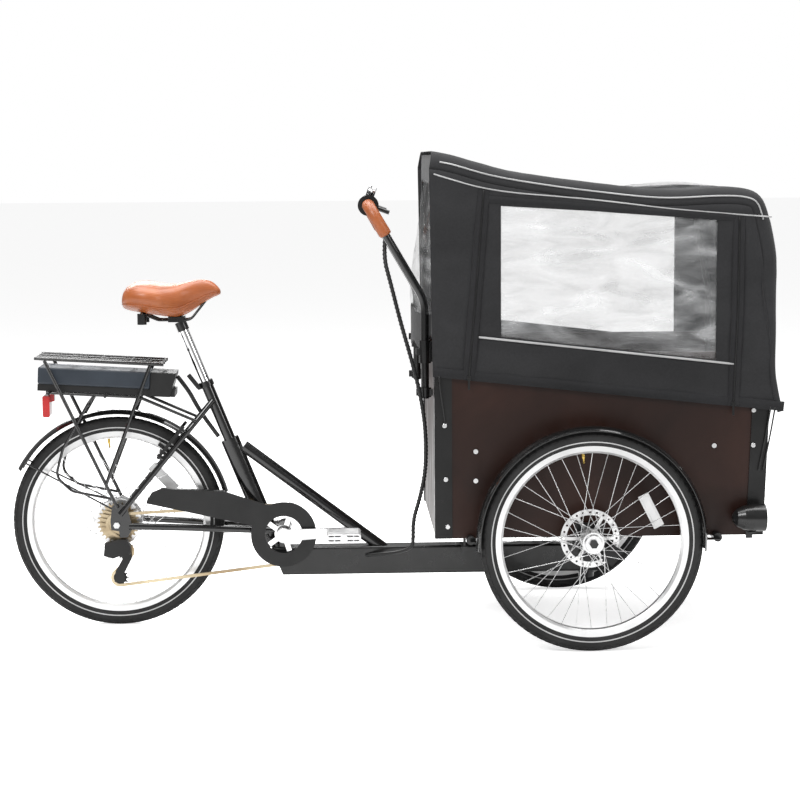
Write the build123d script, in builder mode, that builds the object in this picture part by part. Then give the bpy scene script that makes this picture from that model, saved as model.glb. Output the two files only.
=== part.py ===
"""Front-box electric cargo trike.

Row frame: +X is forwards, +Y is the rider's left, +Z is up, in millimetres.
The origin lies on the ground under the middle of the whole vehicle's box.
"""

from build123d import *
import os
from math import acos, atan2, cos, pi, radians, sin, sqrt, tan

os.makedirs("parts", exist_ok=True)

# ---------------------------------------------------------------- driving sizes
tyre_r = 300.0  # 24 inch wheel, 47-507 tyre
tyre_w = 47.0
tyre_wall = 4.0
rim_r = 262.0  # top of the rim's flanges
rim_depth = 22.0
rim_w = 28.0
rim_lip = 2.0
spoke_r = 1.0
spoke_count = 36
wheelbase = 1303.0
track = 800.0  # between the two front wheels' centre planes
nose = 533.0  # from the front axle to the canopy's front hem

beam_w = 60.0
beam_h = 80.0
beam_wall = 3.0
beam_low = 141.0  # ground clearance under the beam
kingpin_lead = 37.0  # kingpin ahead of the front axle
kingpin_r = 15.0

bb_ahead = 470.0  # crank axle ahead of the rear axle
bb_z = 266.0
bb_r = 21.0
bb_half = 34.0
seat_angle = 68.2
seat_top_z = 699.0
post_r = 13.6
seat_tube_r = 17.0
lower_tube_len = 53.0
lower_tube_wide = 38.0
main_tube_r = 17.0
main_tube_angle = 37.3

crank_len = 170.0
crank_rise = 2.7  # degrees that the right crank stands above level
ring_teeth = 42
cog_teeth = [14, 16, 18, 20, 22, 24, 28]
cog_step = 4.5
jockey_teeth = 11
chain_pitch = 12.7
chain_y = -56.0
drop_y = 64.0  # inner faces of the rear dropouts
drop_t = 6.0

box_behind = 414.0  # box's rear wall behind the front axle
box_len = 890.0
box_half = 320.0
box_low = 297.0
box_top = 800.0
ply = 12.0
rail_h = 50.0
rail_w = 25.0

canopy_half = 333.0
canopy_t = 3.0
canopy_round = 30.0
hoop_r = 8.0

bar_r = 11.0
bar_half = 240.0
bar_behind_box = 24.0
battery_len = 385.0
battery_half = 57.0
battery_h = 48.0
rack_tilt = 3.4
rack_half = 76.0

running = 0.05  # radial clearance of a shaft that turns or slides in its hole
seat_gap = 0.3  # clearance between seated pieces
travel_gap = 0.4  # clearance between pieces that move past each other

# ---------------------------------------------------------------- worked-out places
span = tyre_r + wheelbase + nose
rear_x = tyre_r - span / 2
front_x = rear_x + wheelbase
steer_x = front_x + kingpin_lead
axle_z = tyre_r
beam_top = beam_low + beam_h
bb_x = rear_x + bb_ahead
box_rear = front_x - box_behind
box_front = box_rear + box_len
rail_low = box_low
rail_top = rail_low + rail_h
seat_top_x = bb_x - 218.0
seat_dir = Vector(cos(radians(180 - seat_angle)), 0, sin(radians(seat_angle)))
seat_top = Vector(seat_top_x, 0, seat_top_z)
main_tube_foot = Vector(bb_x + 270.0, 0, beam_top)
main_tube_dir = Vector(-cos(radians(main_tube_angle)), 0, sin(radians(main_tube_angle)))


def side(y):
    """The upright plane along the vehicle at height y; a sketch there is drawn in X and Z."""
    return Plane.XZ.offset(-y)


def write(part, label):
    part.label = label
    export_step(part, "parts/" + label + ".step")


def rod(points, radius, bend=0.0):
    """A round bar along straight runs, joined by tangent arcs where it has corners."""
    with BuildPart() as piece:
        with BuildLine() as path:
            if len(points) == 2:
                Line(*points)
            else:
                FilletPolyline(*points, radius=bend)
        with BuildSketch(Plane(origin=path.line @ 0, z_dir=path.line % 0)):
            Circle(radius)
        sweep()
    return piece.part


def cord_bends(points):
    """The largest tangent arc that each corner's two runs allow."""
    points = [Vector(*point) for point in points]
    bends = []
    for before, corner, after in zip(points, points[1:], points[2:]):
        turn = (corner - before).get_angle(after - corner)
        shorter = min((corner - before).length, (after - corner).length)
        bends.append(0.45 * shorter / tan(radians(turn / 2)))
    return bends


def cord(points, radius, label):
    """A round cable along its route, with arcs as large as its runs allow."""
    bends = cord_bends(points)
    print(label, "bend radii", [round(bend) for bend in bends])
    piece = rod(points, radius, bends)
    with BuildLine() as route:
        FilletPolyline(*points, radius=bends)
    length = sum(edge.length for edge in route.edges())
    share = piece.volume / (pi * radius**2 * length)
    print(label, "length", round(length), "volume share", round(share, 4))
    return piece


def spin_plane(x, y, angle, z=axle_z):
    """A plane through a wheel's axis at an angle from +X: local x is radial, local y is +Y."""
    out = (cos(radians(angle)), 0, sin(radians(angle)))
    along = (-sin(radians(angle)), 0, cos(radians(angle)))
    return Plane(origin=(x, y, z), x_dir=out, z_dir=along)


def wheel_axis(x, z=axle_z):
    return Axis((x, 0, z), (0, -1, 0))


def turned(profile, x, y, z=axle_z):
    """A body of revolution about a wheel's axis, from (radius, offset along Y) points."""
    with BuildPart() as piece:
        with BuildSketch(spin_plane(x, y, 0, z)):
            Polygon(*profile, align=None)
        revolve(axis=wheel_axis(x, z))
    return piece.part


# ---------------------------------------------------------------- wheels
bead_r = rim_r - 8.0
floor_r = bead_r - seat_gap
rim_in = rim_r - rim_depth
lip_in = rim_w / 2 - rim_lip


def write_tyre(x, y, label):
    carcass_r = tyre_r - tyre_w / 2
    with BuildPart() as tyre:
        with BuildSketch(spin_plane(x, y, 0)):
            with Locations((carcass_r, 0)):
                Circle(tyre_w / 2)
                Circle(tyre_w / 2 - tyre_wall, mode=Mode.SUBTRACT)
            for flank in (-1, 1):
                with Locations((rim_r + seat_gap, flank * (lip_in - seat_gap))):
                    Rectangle(
                        tyre_w / 2,
                        tyre_w / 2,
                        align=(Align.MAX, Align.MIN if flank > 0 else Align.MAX),
                        mode=Mode.SUBTRACT,
                    )
                with Locations((bead_r, flank * (lip_in - seat_gap))):
                    Rectangle(
                        rim_r - bead_r + tyre_wall,
                        tyre_wall,
                        align=(Align.MIN, Align.MAX if flank > 0 else Align.MIN),
                    )
            with Locations((bead_r, 0)):
                Rectangle(tyre_w, tyre_w, align=(Align.MAX, Align.CENTER), mode=Mode.SUBTRACT)
        revolve(axis=wheel_axis(x))
    write(tyre.part, label)


def write_rim(x, y, label):
    half = rim_w / 2
    with BuildPart() as rim:
        with BuildSketch(spin_plane(x, y, 0)):
            Polygon(
                (rim_in, -half * 0.55),
                (rim_in + 6, -half),
                (rim_r, -half),
                (rim_r, -lip_in),
                (floor_r, -lip_in),
                (floor_r, lip_in),
                (rim_r, lip_in),
                (rim_r, half),
                (rim_in + 6, half),
                (rim_in, half * 0.55),
                align=None,
            )
        revolve(axis=wheel_axis(x))
    write(rim.part, label)


def write_spokes(x, y, flange_r, flange_low, flange_high, label):
    """Tangent spokes from the edges of two hub flanges, every other one leaning back."""
    per_flange = spoke_count // 2
    step = 360 / per_flange
    with BuildPart() as spokes:
        for flange_y, start in ((flange_low, 0.0), (flange_high, step / 2)):
            for number in range(per_flange):
                lean = 1 if number % 2 == 0 else -1
                hub_angle = radians(start + number * step)
                rim_angle = hub_angle + lean * radians(3 * step)
                beside = flange_y + lean * (spoke_r + seat_gap)
                hole_r = flange_r + spoke_r + seat_gap
                inner = Vector(x + hole_r * cos(hub_angle), y + beside, axle_z + hole_r * sin(hub_angle))
                reach = rim_in - seat_gap
                outer = Vector(x + reach * cos(rim_angle), y + lean * 3.0, axle_z + reach * sin(rim_angle))
                run = outer - inner
                with Locations(Plane(origin=inner, z_dir=run)):
                    Cylinder(spoke_r, run.length, align=(Align.CENTER, Align.CENTER, Align.MIN))
    write(spokes.part, label)


hub_bore = 8.0
front_flange_r = 29.0
front_flange_y = 30.0
flange_t = 3.0
rotor_r = 80.0
rotor_t = 2.0
rotor_y = 40.0


def write_front_wheel(y, side_name):
    """A front wheel on its stub axle, with the brake rotor on the box's side."""
    inward = 1 if y < 0 else -1
    write_tyre(front_x, y, "tyre_front_" + side_name)
    write_rim(front_x, y, "rim_front_" + side_name)
    write_spokes(front_x, y, front_flange_r, -front_flange_y, front_flange_y, "spokes_front_" + side_name)
    bore = hub_bore + running
    shell = 17.0
    low = -front_flange_y - flange_t / 2
    profile = [
        (bore, inward * low - inward * 8.0),
        (22.0, inward * low - inward * 8.0),
        (24.0, inward * low - inward * 3.0),
        (24.0, inward * low - inward * 1.0),
        (shell, inward * low - inward * 1.0),
        (shell, inward * low),
        (front_flange_r, inward * low),
        (front_flange_r, inward * (low + flange_t)),
        (shell, inward * (low + flange_t)),
        (shell, inward * (-low - flange_t)),
        (front_flange_r, inward * (-low - flange_t)),
        (front_flange_r, inward * -low),
        (shell, inward * -low),
        (shell, inward * (rotor_y - rotor_t / 2)),
        (bore, inward * (rotor_y - rotor_t / 2)),
    ]
    with BuildPart() as hub:
        add(turned(profile, front_x, y))
        rotor_plane = side(y + inward * rotor_y)
        with BuildSketch(rotor_plane):
            with Locations((front_x, axle_z)):
                Circle(rotor_r)
                Circle(rotor_r - 16.0, mode=Mode.SUBTRACT)
                Circle(22.0)
                Circle(bore, mode=Mode.SUBTRACT)
                with PolarLocations(0, 6):
                    with Locations((42.0, 0)):
                        Rectangle(54.0, 9.0)
                with PolarLocations(rotor_r - 8.0, 24):
                    Circle(3.0, mode=Mode.SUBTRACT)
        extrude(amount=rotor_t / 2, both=True)
    write(hub.part, "hub_front_" + side_name)


write_front_wheel(-track / 2, "right")
write_front_wheel(track / 2, "left")

rear_flange_r = 66.0
rear_flange_y = 23.0
rear_axle_r = 6.0
freewheel_r = 16.0
write_tyre(rear_x, 0, "tyre_rear")
write_rim(rear_x, 0, "rim_rear")
write_spokes(rear_x, 0, rear_flange_r, -rear_flange_y, rear_flange_y, "spokes_rear")
motor_r = 61.0
freewheel_end = -chain_y + 3.0
write(
    turned(
        [
            (rear_axle_r + running, -freewheel_end),
            (freewheel_r, -freewheel_end),
            (freewheel_r, -rear_flange_y - 3.5),
            (motor_r - 16.0, -rear_flange_y - 2.5),
            (motor_r, -rear_flange_y - flange_t / 2),
            (rear_flange_r, -rear_flange_y - flange_t / 2),
            (rear_flange_r, -rear_flange_y + flange_t / 2),
            (motor_r, -rear_flange_y + flange_t / 2),
            (motor_r, rear_flange_y - flange_t / 2),
            (rear_flange_r, rear_flange_y - flange_t / 2),
            (rear_flange_r, rear_flange_y + flange_t / 2),
            (motor_r, rear_flange_y + flange_t / 2),
            (motor_r - 16.0, rear_flange_y + 18.0),
            (22.0, rear_flange_y + 30.0),
            (rear_axle_r + running, rear_flange_y + 30.0),
        ],
        rear_x,
        0,
    ),
    "hub_motor",
)

with BuildPart() as rear_axle:
    with Locations(Plane(origin=(rear_x, -drop_y - 14, axle_z), z_dir=(0, 1, 0))):
        Cylinder(rear_axle_r, 2 * (drop_y + 14), align=(Align.CENTER, Align.CENTER, Align.MIN))
    for nut_side in (-1, 1):
        with BuildSketch(side(nut_side * (drop_y + drop_t + seat_gap))):
            with Locations((rear_x, axle_z)):
                RegularPolygon(9.5, 6)
        extrude(amount=-nut_side * 7.0)
write(rear_axle.part, "rear_axle")


# ---------------------------------------------------------------- drivetrain
def pitch_radius(teeth):
    return chain_pitch / (2 * sin(pi / teeth))


def sprocket_outline(teeth, depth=4.2):
    """Corners of a toothed outline with one blunt tooth for every link."""
    root = pitch_radius(teeth) - depth
    tip = pitch_radius(teeth) + 2.6
    points = []
    for tooth in range(teeth):
        for radius, offset in ((root, -0.36), (root, -0.26), (tip, -0.08), (tip, 0.08), (root, 0.26)):
            angle = (tooth + offset) * 2 * pi / teeth
            points.append((radius * cos(angle), radius * sin(angle)))
    return points


def sprocket(teeth, x, y, z, thick, bore):
    with BuildPart() as wheel:
        with BuildSketch(Plane(origin=(x, y, z), x_dir=(1, 0, 0), z_dir=(0, -1, 0))):
            Polygon(*sprocket_outline(teeth), align=None)
            Circle(bore, mode=Mode.SUBTRACT)
        extrude(amount=thick / 2, both=True)
    return wheel.part


sprocket_t = 2.0
with BuildPart() as cassette:
    for number, teeth in enumerate(cog_teeth):
        add(sprocket(teeth, rear_x, chain_y + number * cog_step, axle_z, sprocket_t, freewheel_r + running))
    spacer_end = chain_y + (len(cog_teeth) - 1) * cog_step
    add(
        turned(
            [
                (freewheel_r + running, chain_y - 2.0),
                (21.0, chain_y - 2.0),
                (21.0, spacer_end),
                (freewheel_r + running, spacer_end),
            ],
            rear_x,
            0,
        )
    )
write(cassette.part, "cassette")

ring_r = pitch_radius(ring_teeth)
spindle_r = 8.5
spindle_half = 80.0
with BuildPart() as chainring:
    with BuildSketch(Plane(origin=(bb_x, chain_y, bb_z), x_dir=(1, 0, 0), z_dir=(0, -1, 0))):
        Polygon(*sprocket_outline(ring_teeth), align=None)
        Circle(ring_r - 22.0, mode=Mode.SUBTRACT)
        Circle(26.0)
        with PolarLocations(0, 5):
            with Locations((ring_r / 2, 0)):
                Rectangle(ring_r - 26.0, 14.0)
        Circle(spindle_r + seat_gap, mode=Mode.SUBTRACT)
    extrude(amount=sprocket_t / 2, both=True)
write(chainring.part, "chainring")

crank_in = -chain_y + 17.0  # inner face of the right crank arm
crank_t = 12.0
pedal_axle_r = 6.0
pedal_gap = 3.0


def crank_end(direction):
    """Pedal axle's place in X and Z; direction is +1 for the forward crank."""
    angle = radians(crank_rise) + (0 if direction > 0 else pi)
    return Vector(bb_x + crank_len * cos(angle), bb_z + crank_len * sin(angle))


with BuildPart() as crank_arms:
    for flank, direction in ((-1, 1), (1, -1)):
        tip = crank_end(direction)
        hub_point = Vector(bb_x, bb_z)
        across = (tip - hub_point).normalized().rotate(Axis.Z, 90)
        with BuildSketch(side(flank * crank_in)):
            with Locations(hub_point):
                Circle(21.0)
            with Locations(tip):
                Circle(13.0)
            Polygon(
                hub_point + across * 17,
                tip + across * 12,
                tip - across * 12,
                hub_point - across * 17,
                align=None,
            )
        extrude(amount=-flank * crank_t)
        with Locations(Plane(origin=(tip.X, flank * (crank_in - 1), tip.Y), z_dir=(0, flank, 0))):
            Hole(pedal_axle_r + running, depth=crank_t * 4)
    with Locations(Plane(origin=(bb_x, -spindle_half, bb_z), z_dir=(0, 1, 0))):
        Cylinder(spindle_r, 2 * spindle_half, align=(Align.CENTER, Align.CENTER, Align.MIN))
write(crank_arms.part, "crank_arms")

pedal_len = 95.0
pedal_wide = 92.0
pedal_high = 24.0
pedal_in = crank_in + crank_t + pedal_gap


def write_pedal(flank, direction, label):
    """Cage, core tube and axle of one pedal, which turns on its axle in the crank."""
    tip = crank_end(direction)
    y_in = flank * pedal_in
    with BuildPart() as pedal:
        with BuildSketch(side(y_in)):
            with Locations(tip):
                RectangleRounded(pedal_len, pedal_high, 8.0)
                RectangleRounded(pedal_len - 8, pedal_high - 8, 5.0, mode=Mode.SUBTRACT)
        extrude(amount=-flank * pedal_wide)
        for x_side in (-1, 1):
            with Locations(Location((tip.X + x_side * pedal_len * 0.28, y_in + flank * pedal_wide / 2, tip.Y))):
                Box(3.0, pedal_wide, pedal_high - 6)
        with Locations(Plane(origin=(tip.X, y_in, tip.Y), z_dir=(0, flank, 0))):
            Cylinder(11.0, pedal_wide + 4, align=(Align.CENTER, Align.CENTER, Align.MIN))
        with Locations(Plane(origin=(tip.X, flank * crank_in, tip.Y), z_dir=(0, flank, 0))):
            Cylinder(pedal_axle_r, pedal_in - crank_in + 1, align=(Align.CENTER, Align.CENTER, Align.MIN))
        for end in (0.0, pedal_wide - 4.0):
            with BuildSketch(side(y_in + flank * end)):
                with Locations(tip):
                    Rectangle(pedal_len - 6, 8.0)
            extrude(amount=-flank * 4.0)
    write(pedal.part, label)


write_pedal(-1, 1, "pedal_right")
write_pedal(1, -1, "pedal_left")

# The derailleur hangs below the axle; its two jockey wheels turn in the cage.
jockey_r = pitch_radius(jockey_teeth)
hanger = Vector(rear_x + 18.0, 0, axle_z - 28.0)
guide = Vector(rear_x + 20.0, 0, 222.0)
tension = Vector(rear_x + 5.0, 0, 147.0)
cog_r = pitch_radius(cog_teeth[0])
for label, place in (("jockey_guide", guide), ("jockey_tension", tension)):
    write(sprocket(jockey_teeth, place.X, chain_y, place.Z, sprocket_t, 3.0 + running), label)

cage_y = 4.4  # inner faces of the cage plates, each side of the chain's plane
cage_t = 2.0
with BuildPart() as derailleur:
    for plate_side in (-1, 1):
        with BuildSketch(side(chain_y + plate_side * cage_y)):
            Polygon(
                (guide.X - 16, guide.Z + 14),
                (guide.X + 18, guide.Z + 14),
                (guide.X + 20, guide.Z - 18),
                (tension.X + 12, tension.Z + 12),
                (tension.X + 16, tension.Z - 12),
                (tension.X - 16, tension.Z - 12),
                (tension.X - 12, tension.Z + 20),
                (guide.X - 8, guide.Z - 22),
                align=None,
            )
        extrude(amount=-plate_side * cage_t)
    for place in (guide, tension):
        with Locations(Plane(origin=(place.X, chain_y - cage_y - cage_t, place.Z), z_dir=(0, 1, 0))):
            Cylinder(3.0, 2 * (cage_y + cage_t), align=(Align.CENTER, Align.CENTER, Align.MIN))
    with BuildSketch(side(chain_y - cage_y - cage_t)):
        Polygon(
            (guide.X - 14, guide.Z - 10),
            (guide.X + 16, guide.Z - 6),
            (guide.X + 18, guide.Z + 18),
            (hanger.X + 10, hanger.Z - 12),
            (hanger.X - 12, hanger.Z - 12),
            (hanger.X - 52, hanger.Z - 22),
            (hanger.X - 56, hanger.Z - 58),
            (guide.X - 34, guide.Z - 16),
            align=None,
        )
    extrude(amount=20.0)
write(derailleur.part, "derailleur")


# The chain is two bands of side plates joined by pins along its free runs; the
# teeth run between the bands. Each circle has its turning sense, +1 clockwise
# as seen from the right.
chain_circles = [
    (Vector(rear_x, axle_z), cog_r, 1),
    (Vector(bb_x, bb_z), ring_r, 1),
    (Vector(tension.X, tension.Z), jockey_r, 1),
    (Vector(guide.X, guide.Z), jockey_r, -1),
]


def belt_contacts(circles):
    """For each circle, where a belt that runs round them all meets and leaves it."""
    meets = [None] * len(circles)
    leaves = [None] * len(circles)
    for number, (first, first_r, first_sense) in enumerate(circles):
        following = (number + 1) % len(circles)
        second, second_r, second_sense = circles[following]
        apart = second - first
        heading = atan2(apart.Y, apart.X)
        lean = heading + acos((first_sense * first_r - second_sense * second_r) / apart.length)
        normal = Vector(cos(lean), sin(lean))
        leaves[number] = first + normal * (first_sense * first_r)
        meets[following] = second + normal * (second_sense * second_r)
    return meets, leaves


def belt_face(circles):
    """The area inside a belt, drawn in the current sketch."""
    meets, leaves = belt_contacts(circles)
    edges = []
    for number, (middle, radius, sense) in enumerate(circles):
        start = (meets[number] - middle).get_signed_angle(Vector(1, 0), Vector(0, 0, -1))
        end = (leaves[number] - middle).get_signed_angle(Vector(1, 0), Vector(0, 0, -1))
        sweep_angle = (start - end) % 360 if sense > 0 else (end - start) % 360
        halfway = radians(start - sense * sweep_angle / 2)
        top = middle + Vector(cos(halfway), sin(halfway)) * radius
        edges.append(Edge.make_three_point_arc(meets[number], top, leaves[number]))
        edges.append(Edge.make_line(leaves[number], meets[(number + 1) % len(circles)]))
    return Face(Wire(edges))


plate_half = 4.0
plate_in = 1.5
plate_out = 3.2
wider = [(middle, radius + sense * plate_half, sense) for middle, radius, sense in chain_circles]
narrower = [(middle, radius - sense * plate_half, sense) for middle, radius, sense in chain_circles]
chain_meets, chain_leaves = belt_contacts(chain_circles)
with BuildPart() as chain:
    for plate_side in (-1, 1):
        with BuildSketch(side(chain_y + plate_side * plate_in)):
            add(belt_face(wider))
            add(belt_face(narrower), mode=Mode.SUBTRACT)
        extrude(amount=-plate_side * (plate_out - plate_in))
    for number in (0, 1):
        first = chain_leaves[number]
        last = chain_meets[number + 1]
        run = last - first
        for link in range(3, int(run.length / chain_pitch) - 2):
            pin = first + run.normalized() * (link * chain_pitch)
            with Locations(Plane(origin=(pin.X, chain_y - plate_in, pin.Y), z_dir=(0, 1, 0))):
                Cylinder(2.2, 2 * plate_in, align=(Align.CENTER, Align.CENTER, Align.MIN))
write(chain.part, "chain")

# ---------------------------------------------------------------- rear frame
head_tube_r = 25.0
axle_beam_h = 30.0
axle_beam_low = rail_low - axle_beam_h
head_top = axle_beam_low - travel_gap
head_low = beam_low - 6.0
slant = 1 / tan(radians(seat_angle))
beam_back = bb_x - 4.0
beam_front = steer_x + 60.0
with BuildPart() as main_beam:
    with BuildSketch(side(0)):
        Polygon(
            (beam_back, beam_low),
            (beam_front, beam_low),
            (beam_front, beam_top),
            (beam_back - beam_h * slant, beam_top),
            align=None,
        )
    extrude(amount=beam_w / 2, both=True)
    fillet(main_beam.edges().filter_by(Axis.X), 6.0)
    inner_back = beam_back - beam_h
    inner_len = beam_front - beam_wall - inner_back
    with Locations((inner_back + inner_len / 2, 0, beam_low + beam_h / 2)):
        Box(inner_len, beam_w - 2 * beam_wall, beam_h - 2 * beam_wall, mode=Mode.SUBTRACT)
    with Locations((steer_x, 0, head_low)):
        Cylinder(head_tube_r, head_top - head_low, align=(Align.CENTER, Align.CENTER, Align.MIN))
        Cylinder(
            kingpin_r + running,
            head_top - head_low,
            align=(Align.CENTER, Align.CENTER, Align.MIN),
            mode=Mode.SUBTRACT,
        )
    with Locations((box_rear + 96.0, -beam_w / 2 + 2.0, beam_top - 14.0)):
        Box(20.0, 24.0, 14.0, align=(Align.CENTER, Align.MAX, Align.MIN))
    with Locations((box_rear + 96.0, -44.0, beam_top - 6.0)):
        Cylinder(4.0, 252.0 - 8.0 - seat_gap - beam_top + 6.0, align=(Align.CENTER, Align.CENTER, Align.MIN))
write(main_beam.part, "main_beam")

post_bottom = 190.0  # length of seat post inside the frame
bore_depth = post_bottom + 110.0
lower_tube_top = 178.0  # along the seat tube, below its top
seat_down = seat_dir * -1
seat_plane = Plane(origin=seat_top, x_dir=(0, 1, 0), z_dir=seat_dir)
clamp_h = 16.0
with BuildPart() as seat_tube:
    with BuildSketch(seat_plane.offset(-lower_tube_top - 8)):
        Circle(seat_tube_r)
    extrude(amount=lower_tube_top + 8)
    with BuildSketch(seat_plane.offset(-lower_tube_top)):
        Ellipse(lower_tube_wide / 2, lower_tube_len / 2)
    extrude(amount=-600)
    with Locations((bb_x, 0, beam_top)):
        Box(900, 200, 900, align=(Align.CENTER, Align.CENTER, Align.MAX), mode=Mode.SUBTRACT)
    with BuildSketch(seat_plane):
        Circle(post_r + running)
    extrude(amount=-bore_depth, mode=Mode.SUBTRACT)

with BuildPart() as bottom_bracket:
    with Locations(Plane(origin=(bb_x, -bb_half, bb_z), z_dir=(0, 1, 0))):
        Cylinder(bb_r, 2 * bb_half, align=(Align.CENTER, Align.CENTER, Align.MIN))
    bb_foot = bb_z - beam_top
    with Locations((bb_x, 0, beam_top)):
        Box(26.0, 2 * bb_half * 0.7, bb_foot, align=(Align.CENTER, Align.CENTER, Align.MIN))
    with Locations(Plane(origin=(bb_x, -bb_half, bb_z), z_dir=(0, 1, 0))):
        Cylinder(
            spindle_r + running,
            2 * bb_half,
            align=(Align.CENTER, Align.CENTER, Align.MIN),
            mode=Mode.SUBTRACT,
        )
    add(seat_tube.part, mode=Mode.SUBTRACT)

main_tube_far = main_tube_foot + main_tube_dir * 480
with BuildPart() as main_tube:
    add(rod([main_tube_far, main_tube_foot - main_tube_dir * 60], main_tube_r))
    with Locations((bb_x, 0, beam_top)):
        Box(1400, 200, 900, align=(Align.CENTER, Align.CENTER, Align.MAX), mode=Mode.SUBTRACT)
    with BuildSketch(seat_plane):
        Circle(seat_tube_r)
        with Locations((0, 150)):
            Rectangle(300, 300)
    extrude(amount=-lower_tube_top, mode=Mode.SUBTRACT)
    with BuildSketch(seat_plane.offset(-lower_tube_top)):
        Ellipse(lower_tube_wide / 2, lower_tube_len / 2)
        with Locations((0, 150)):
            Rectangle(300, 300)
    extrude(amount=-400, mode=Mode.SUBTRACT)
write(Compound([seat_tube.part, main_tube.part, bottom_bracket.part]), "frame_tubes")

stay_r = 8.0
stay_y = drop_y + drop_t / 2
seat_stay_top = seat_top + seat_down * 58.0
seat_stay_foot = Vector(rear_x + 10.0, 0, axle_z + 30.0)
seat_stay_dir = (seat_stay_top - seat_stay_foot).normalized()
bridge_reach = tyre_r + 23.0 + seat_gap + 6.0
to_foot = seat_stay_foot - Vector(rear_x, 0, axle_z)
halfway = to_foot.dot(seat_stay_dir)
bridge_at = -halfway + sqrt(halfway**2 - to_foot.dot(to_foot) + bridge_reach**2)
bridge = seat_stay_foot + seat_stay_dir * bridge_at
stay_knee = seat_stay_foot + seat_stay_dir * (bridge_at + 6.0)
stay_knee_y = 41.0
brake_reach = rim_r - 36.0
brake_at = -halfway + sqrt(halfway**2 - to_foot.dot(to_foot) + brake_reach**2)
brake_out = Vector(-seat_stay_dir.Z, 0, seat_stay_dir.X)
boss_len = 12.0
arm_in = 14.0
arm_half_y = 6.0
arm_t = 9.0
arm_len = 104.0


def stay_y_at(distance):
    """The seat stays' distance from the middle plane, at a distance up from the dropout."""
    knee = (stay_knee - seat_stay_foot).length
    return stay_y + 3.0 + (stay_knee_y - stay_y - 3.0) * distance / knee


brake_pivot_y = stay_y_at(brake_at)
brake_pivot = seat_stay_foot + seat_stay_dir * brake_at

with BuildPart() as seat_stays:
    for flank in (-1, 1):
        add(
            rod(
                [
                    seat_stay_foot + Vector(0, flank * (stay_y + 3.0), 0),
                    stay_knee + Vector(0, flank * stay_knee_y, 0),
                    seat_stay_top + Vector(0, flank * 14.0, 0),
                ],
                stay_r,
                90.0,
            )
        )
        foot = brake_pivot + Vector(0, flank * brake_pivot_y, 0)
        add(rod([foot, foot + brake_out * (arm_in - seat_gap)], 7.0))
        add(rod([foot, foot + brake_out * (arm_in + arm_t + 3.0)], 4.0))
    with Locations(Plane(origin=(bridge.X, -stay_knee_y, bridge.Z), z_dir=(0, 1, 0))):
        Cylinder(6.0, 2 * stay_knee_y, align=(Align.CENTER, Align.CENTER, Align.MIN))
    with BuildSketch(seat_plane.offset(20.0)):
        Circle(seat_tube_r)
    extrude(amount=-lower_tube_top, mode=Mode.SUBTRACT)
write(seat_stays.part, "seat_stays")

chain_stay_r = 10.0
with BuildPart() as chain_stays:
    for flank in (-1, 1):
        with BuildSketch(side(flank * drop_y)):
            Polygon(
                (rear_x - 16, axle_z - 14),
                (rear_x + 6, axle_z - 18),
                (rear_x + 8, axle_z - 36),
                (rear_x + 30, axle_z - 36),
                (rear_x + 44, axle_z - 10),
                (rear_x + 40, axle_z + 10),
                (rear_x + 30, axle_z + 50),
                (rear_x + 6, axle_z + 62),
                (rear_x - 12, axle_z + 54),
                (rear_x - 18, axle_z + 10),
                align=None,
            )
            with Locations((rear_x, axle_z)):
                Circle(rear_axle_r + seat_gap, mode=Mode.SUBTRACT)
        extrude(amount=-flank * drop_t)
        add(
            rod(
                [
                    (rear_x + 34, flank * stay_y, axle_z - 4),
                    (rear_x + 190, flank * 54.0, axle_z - 12),
                    (bb_x - 4, flank * 27.0, bb_z + 4),
                ],
                chain_stay_r,
                200.0,
            )
        )
    add(bottom_bracket.part, mode=Mode.SUBTRACT)
    add(seat_tube.part, mode=Mode.SUBTRACT)
    add(seat_stays.part, mode=Mode.SUBTRACT)
    with Locations(Plane(origin=(bb_x, -2 * bb_half, bb_z), z_dir=(0, 1, 0))):
        Cylinder(bb_r, 4 * bb_half, align=(Align.CENTER, Align.CENTER, Align.MIN), mode=Mode.SUBTRACT)
write(chain_stays.part, "chain_stays")

# Seat clamp, its quick-release lever, the post and the saddle.
clamp_r = seat_tube_r + 4.0
ear_back = 20.0
skewer_r = 3.0
slot_half = 1.5
with BuildPart() as seat_clamp:
    with BuildSketch(seat_plane):
        Circle(clamp_r)
        with Locations((0, ear_back / 2 + 4)):
            Rectangle(22.0, ear_back)
        Circle(seat_tube_r + seat_gap, mode=Mode.SUBTRACT)
        with Locations((0, ear_back)):
            Rectangle(2 * slot_half, 40.0, mode=Mode.SUBTRACT)
    extrude(amount=-clamp_h)
    with Locations(seat_plane.offset(-clamp_h / 2)):
        with Locations(Location((-12.0, clamp_r + 1.5, 0), (0, 90, 0))):
            Cylinder(skewer_r, 24.0, align=(Align.CENTER, Align.CENTER, Align.MIN))
write(seat_clamp.part, "seat_clamp")

skewer = seat_plane.offset(-clamp_h / 2).from_local_coords(Vector(0, clamp_r + 1.5, 0))
lever_barrel_r = 6.0
lever_y = -12.0 - seat_gap - lever_barrel_r
lever_len = 46.0
seat_lever_angle = radians(128.0)
seat_lever_dir = Vector(cos(seat_lever_angle), 0, sin(seat_lever_angle))
seat_lever_pin = Vector(sin(seat_lever_angle), 0, -cos(seat_lever_angle))
seat_lever_pivot = Vector(skewer.X, lever_y, skewer.Z)
with BuildPart() as seat_lever:
    with Locations(Plane(origin=seat_lever_pivot - seat_lever_pin * 5.0, z_dir=seat_lever_pin)):
        Cylinder(lever_barrel_r, 10.0, align=(Align.CENTER, Align.CENTER, Align.MIN))
    with Locations(Plane(origin=seat_lever_pivot, x_dir=seat_lever_dir, z_dir=(0, -1, 0))):
        Box(lever_len, 12.0, 6.0, align=(Align.MIN, Align.CENTER, Align.CENTER))
write(seat_lever.part, "seat_lever")

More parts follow.
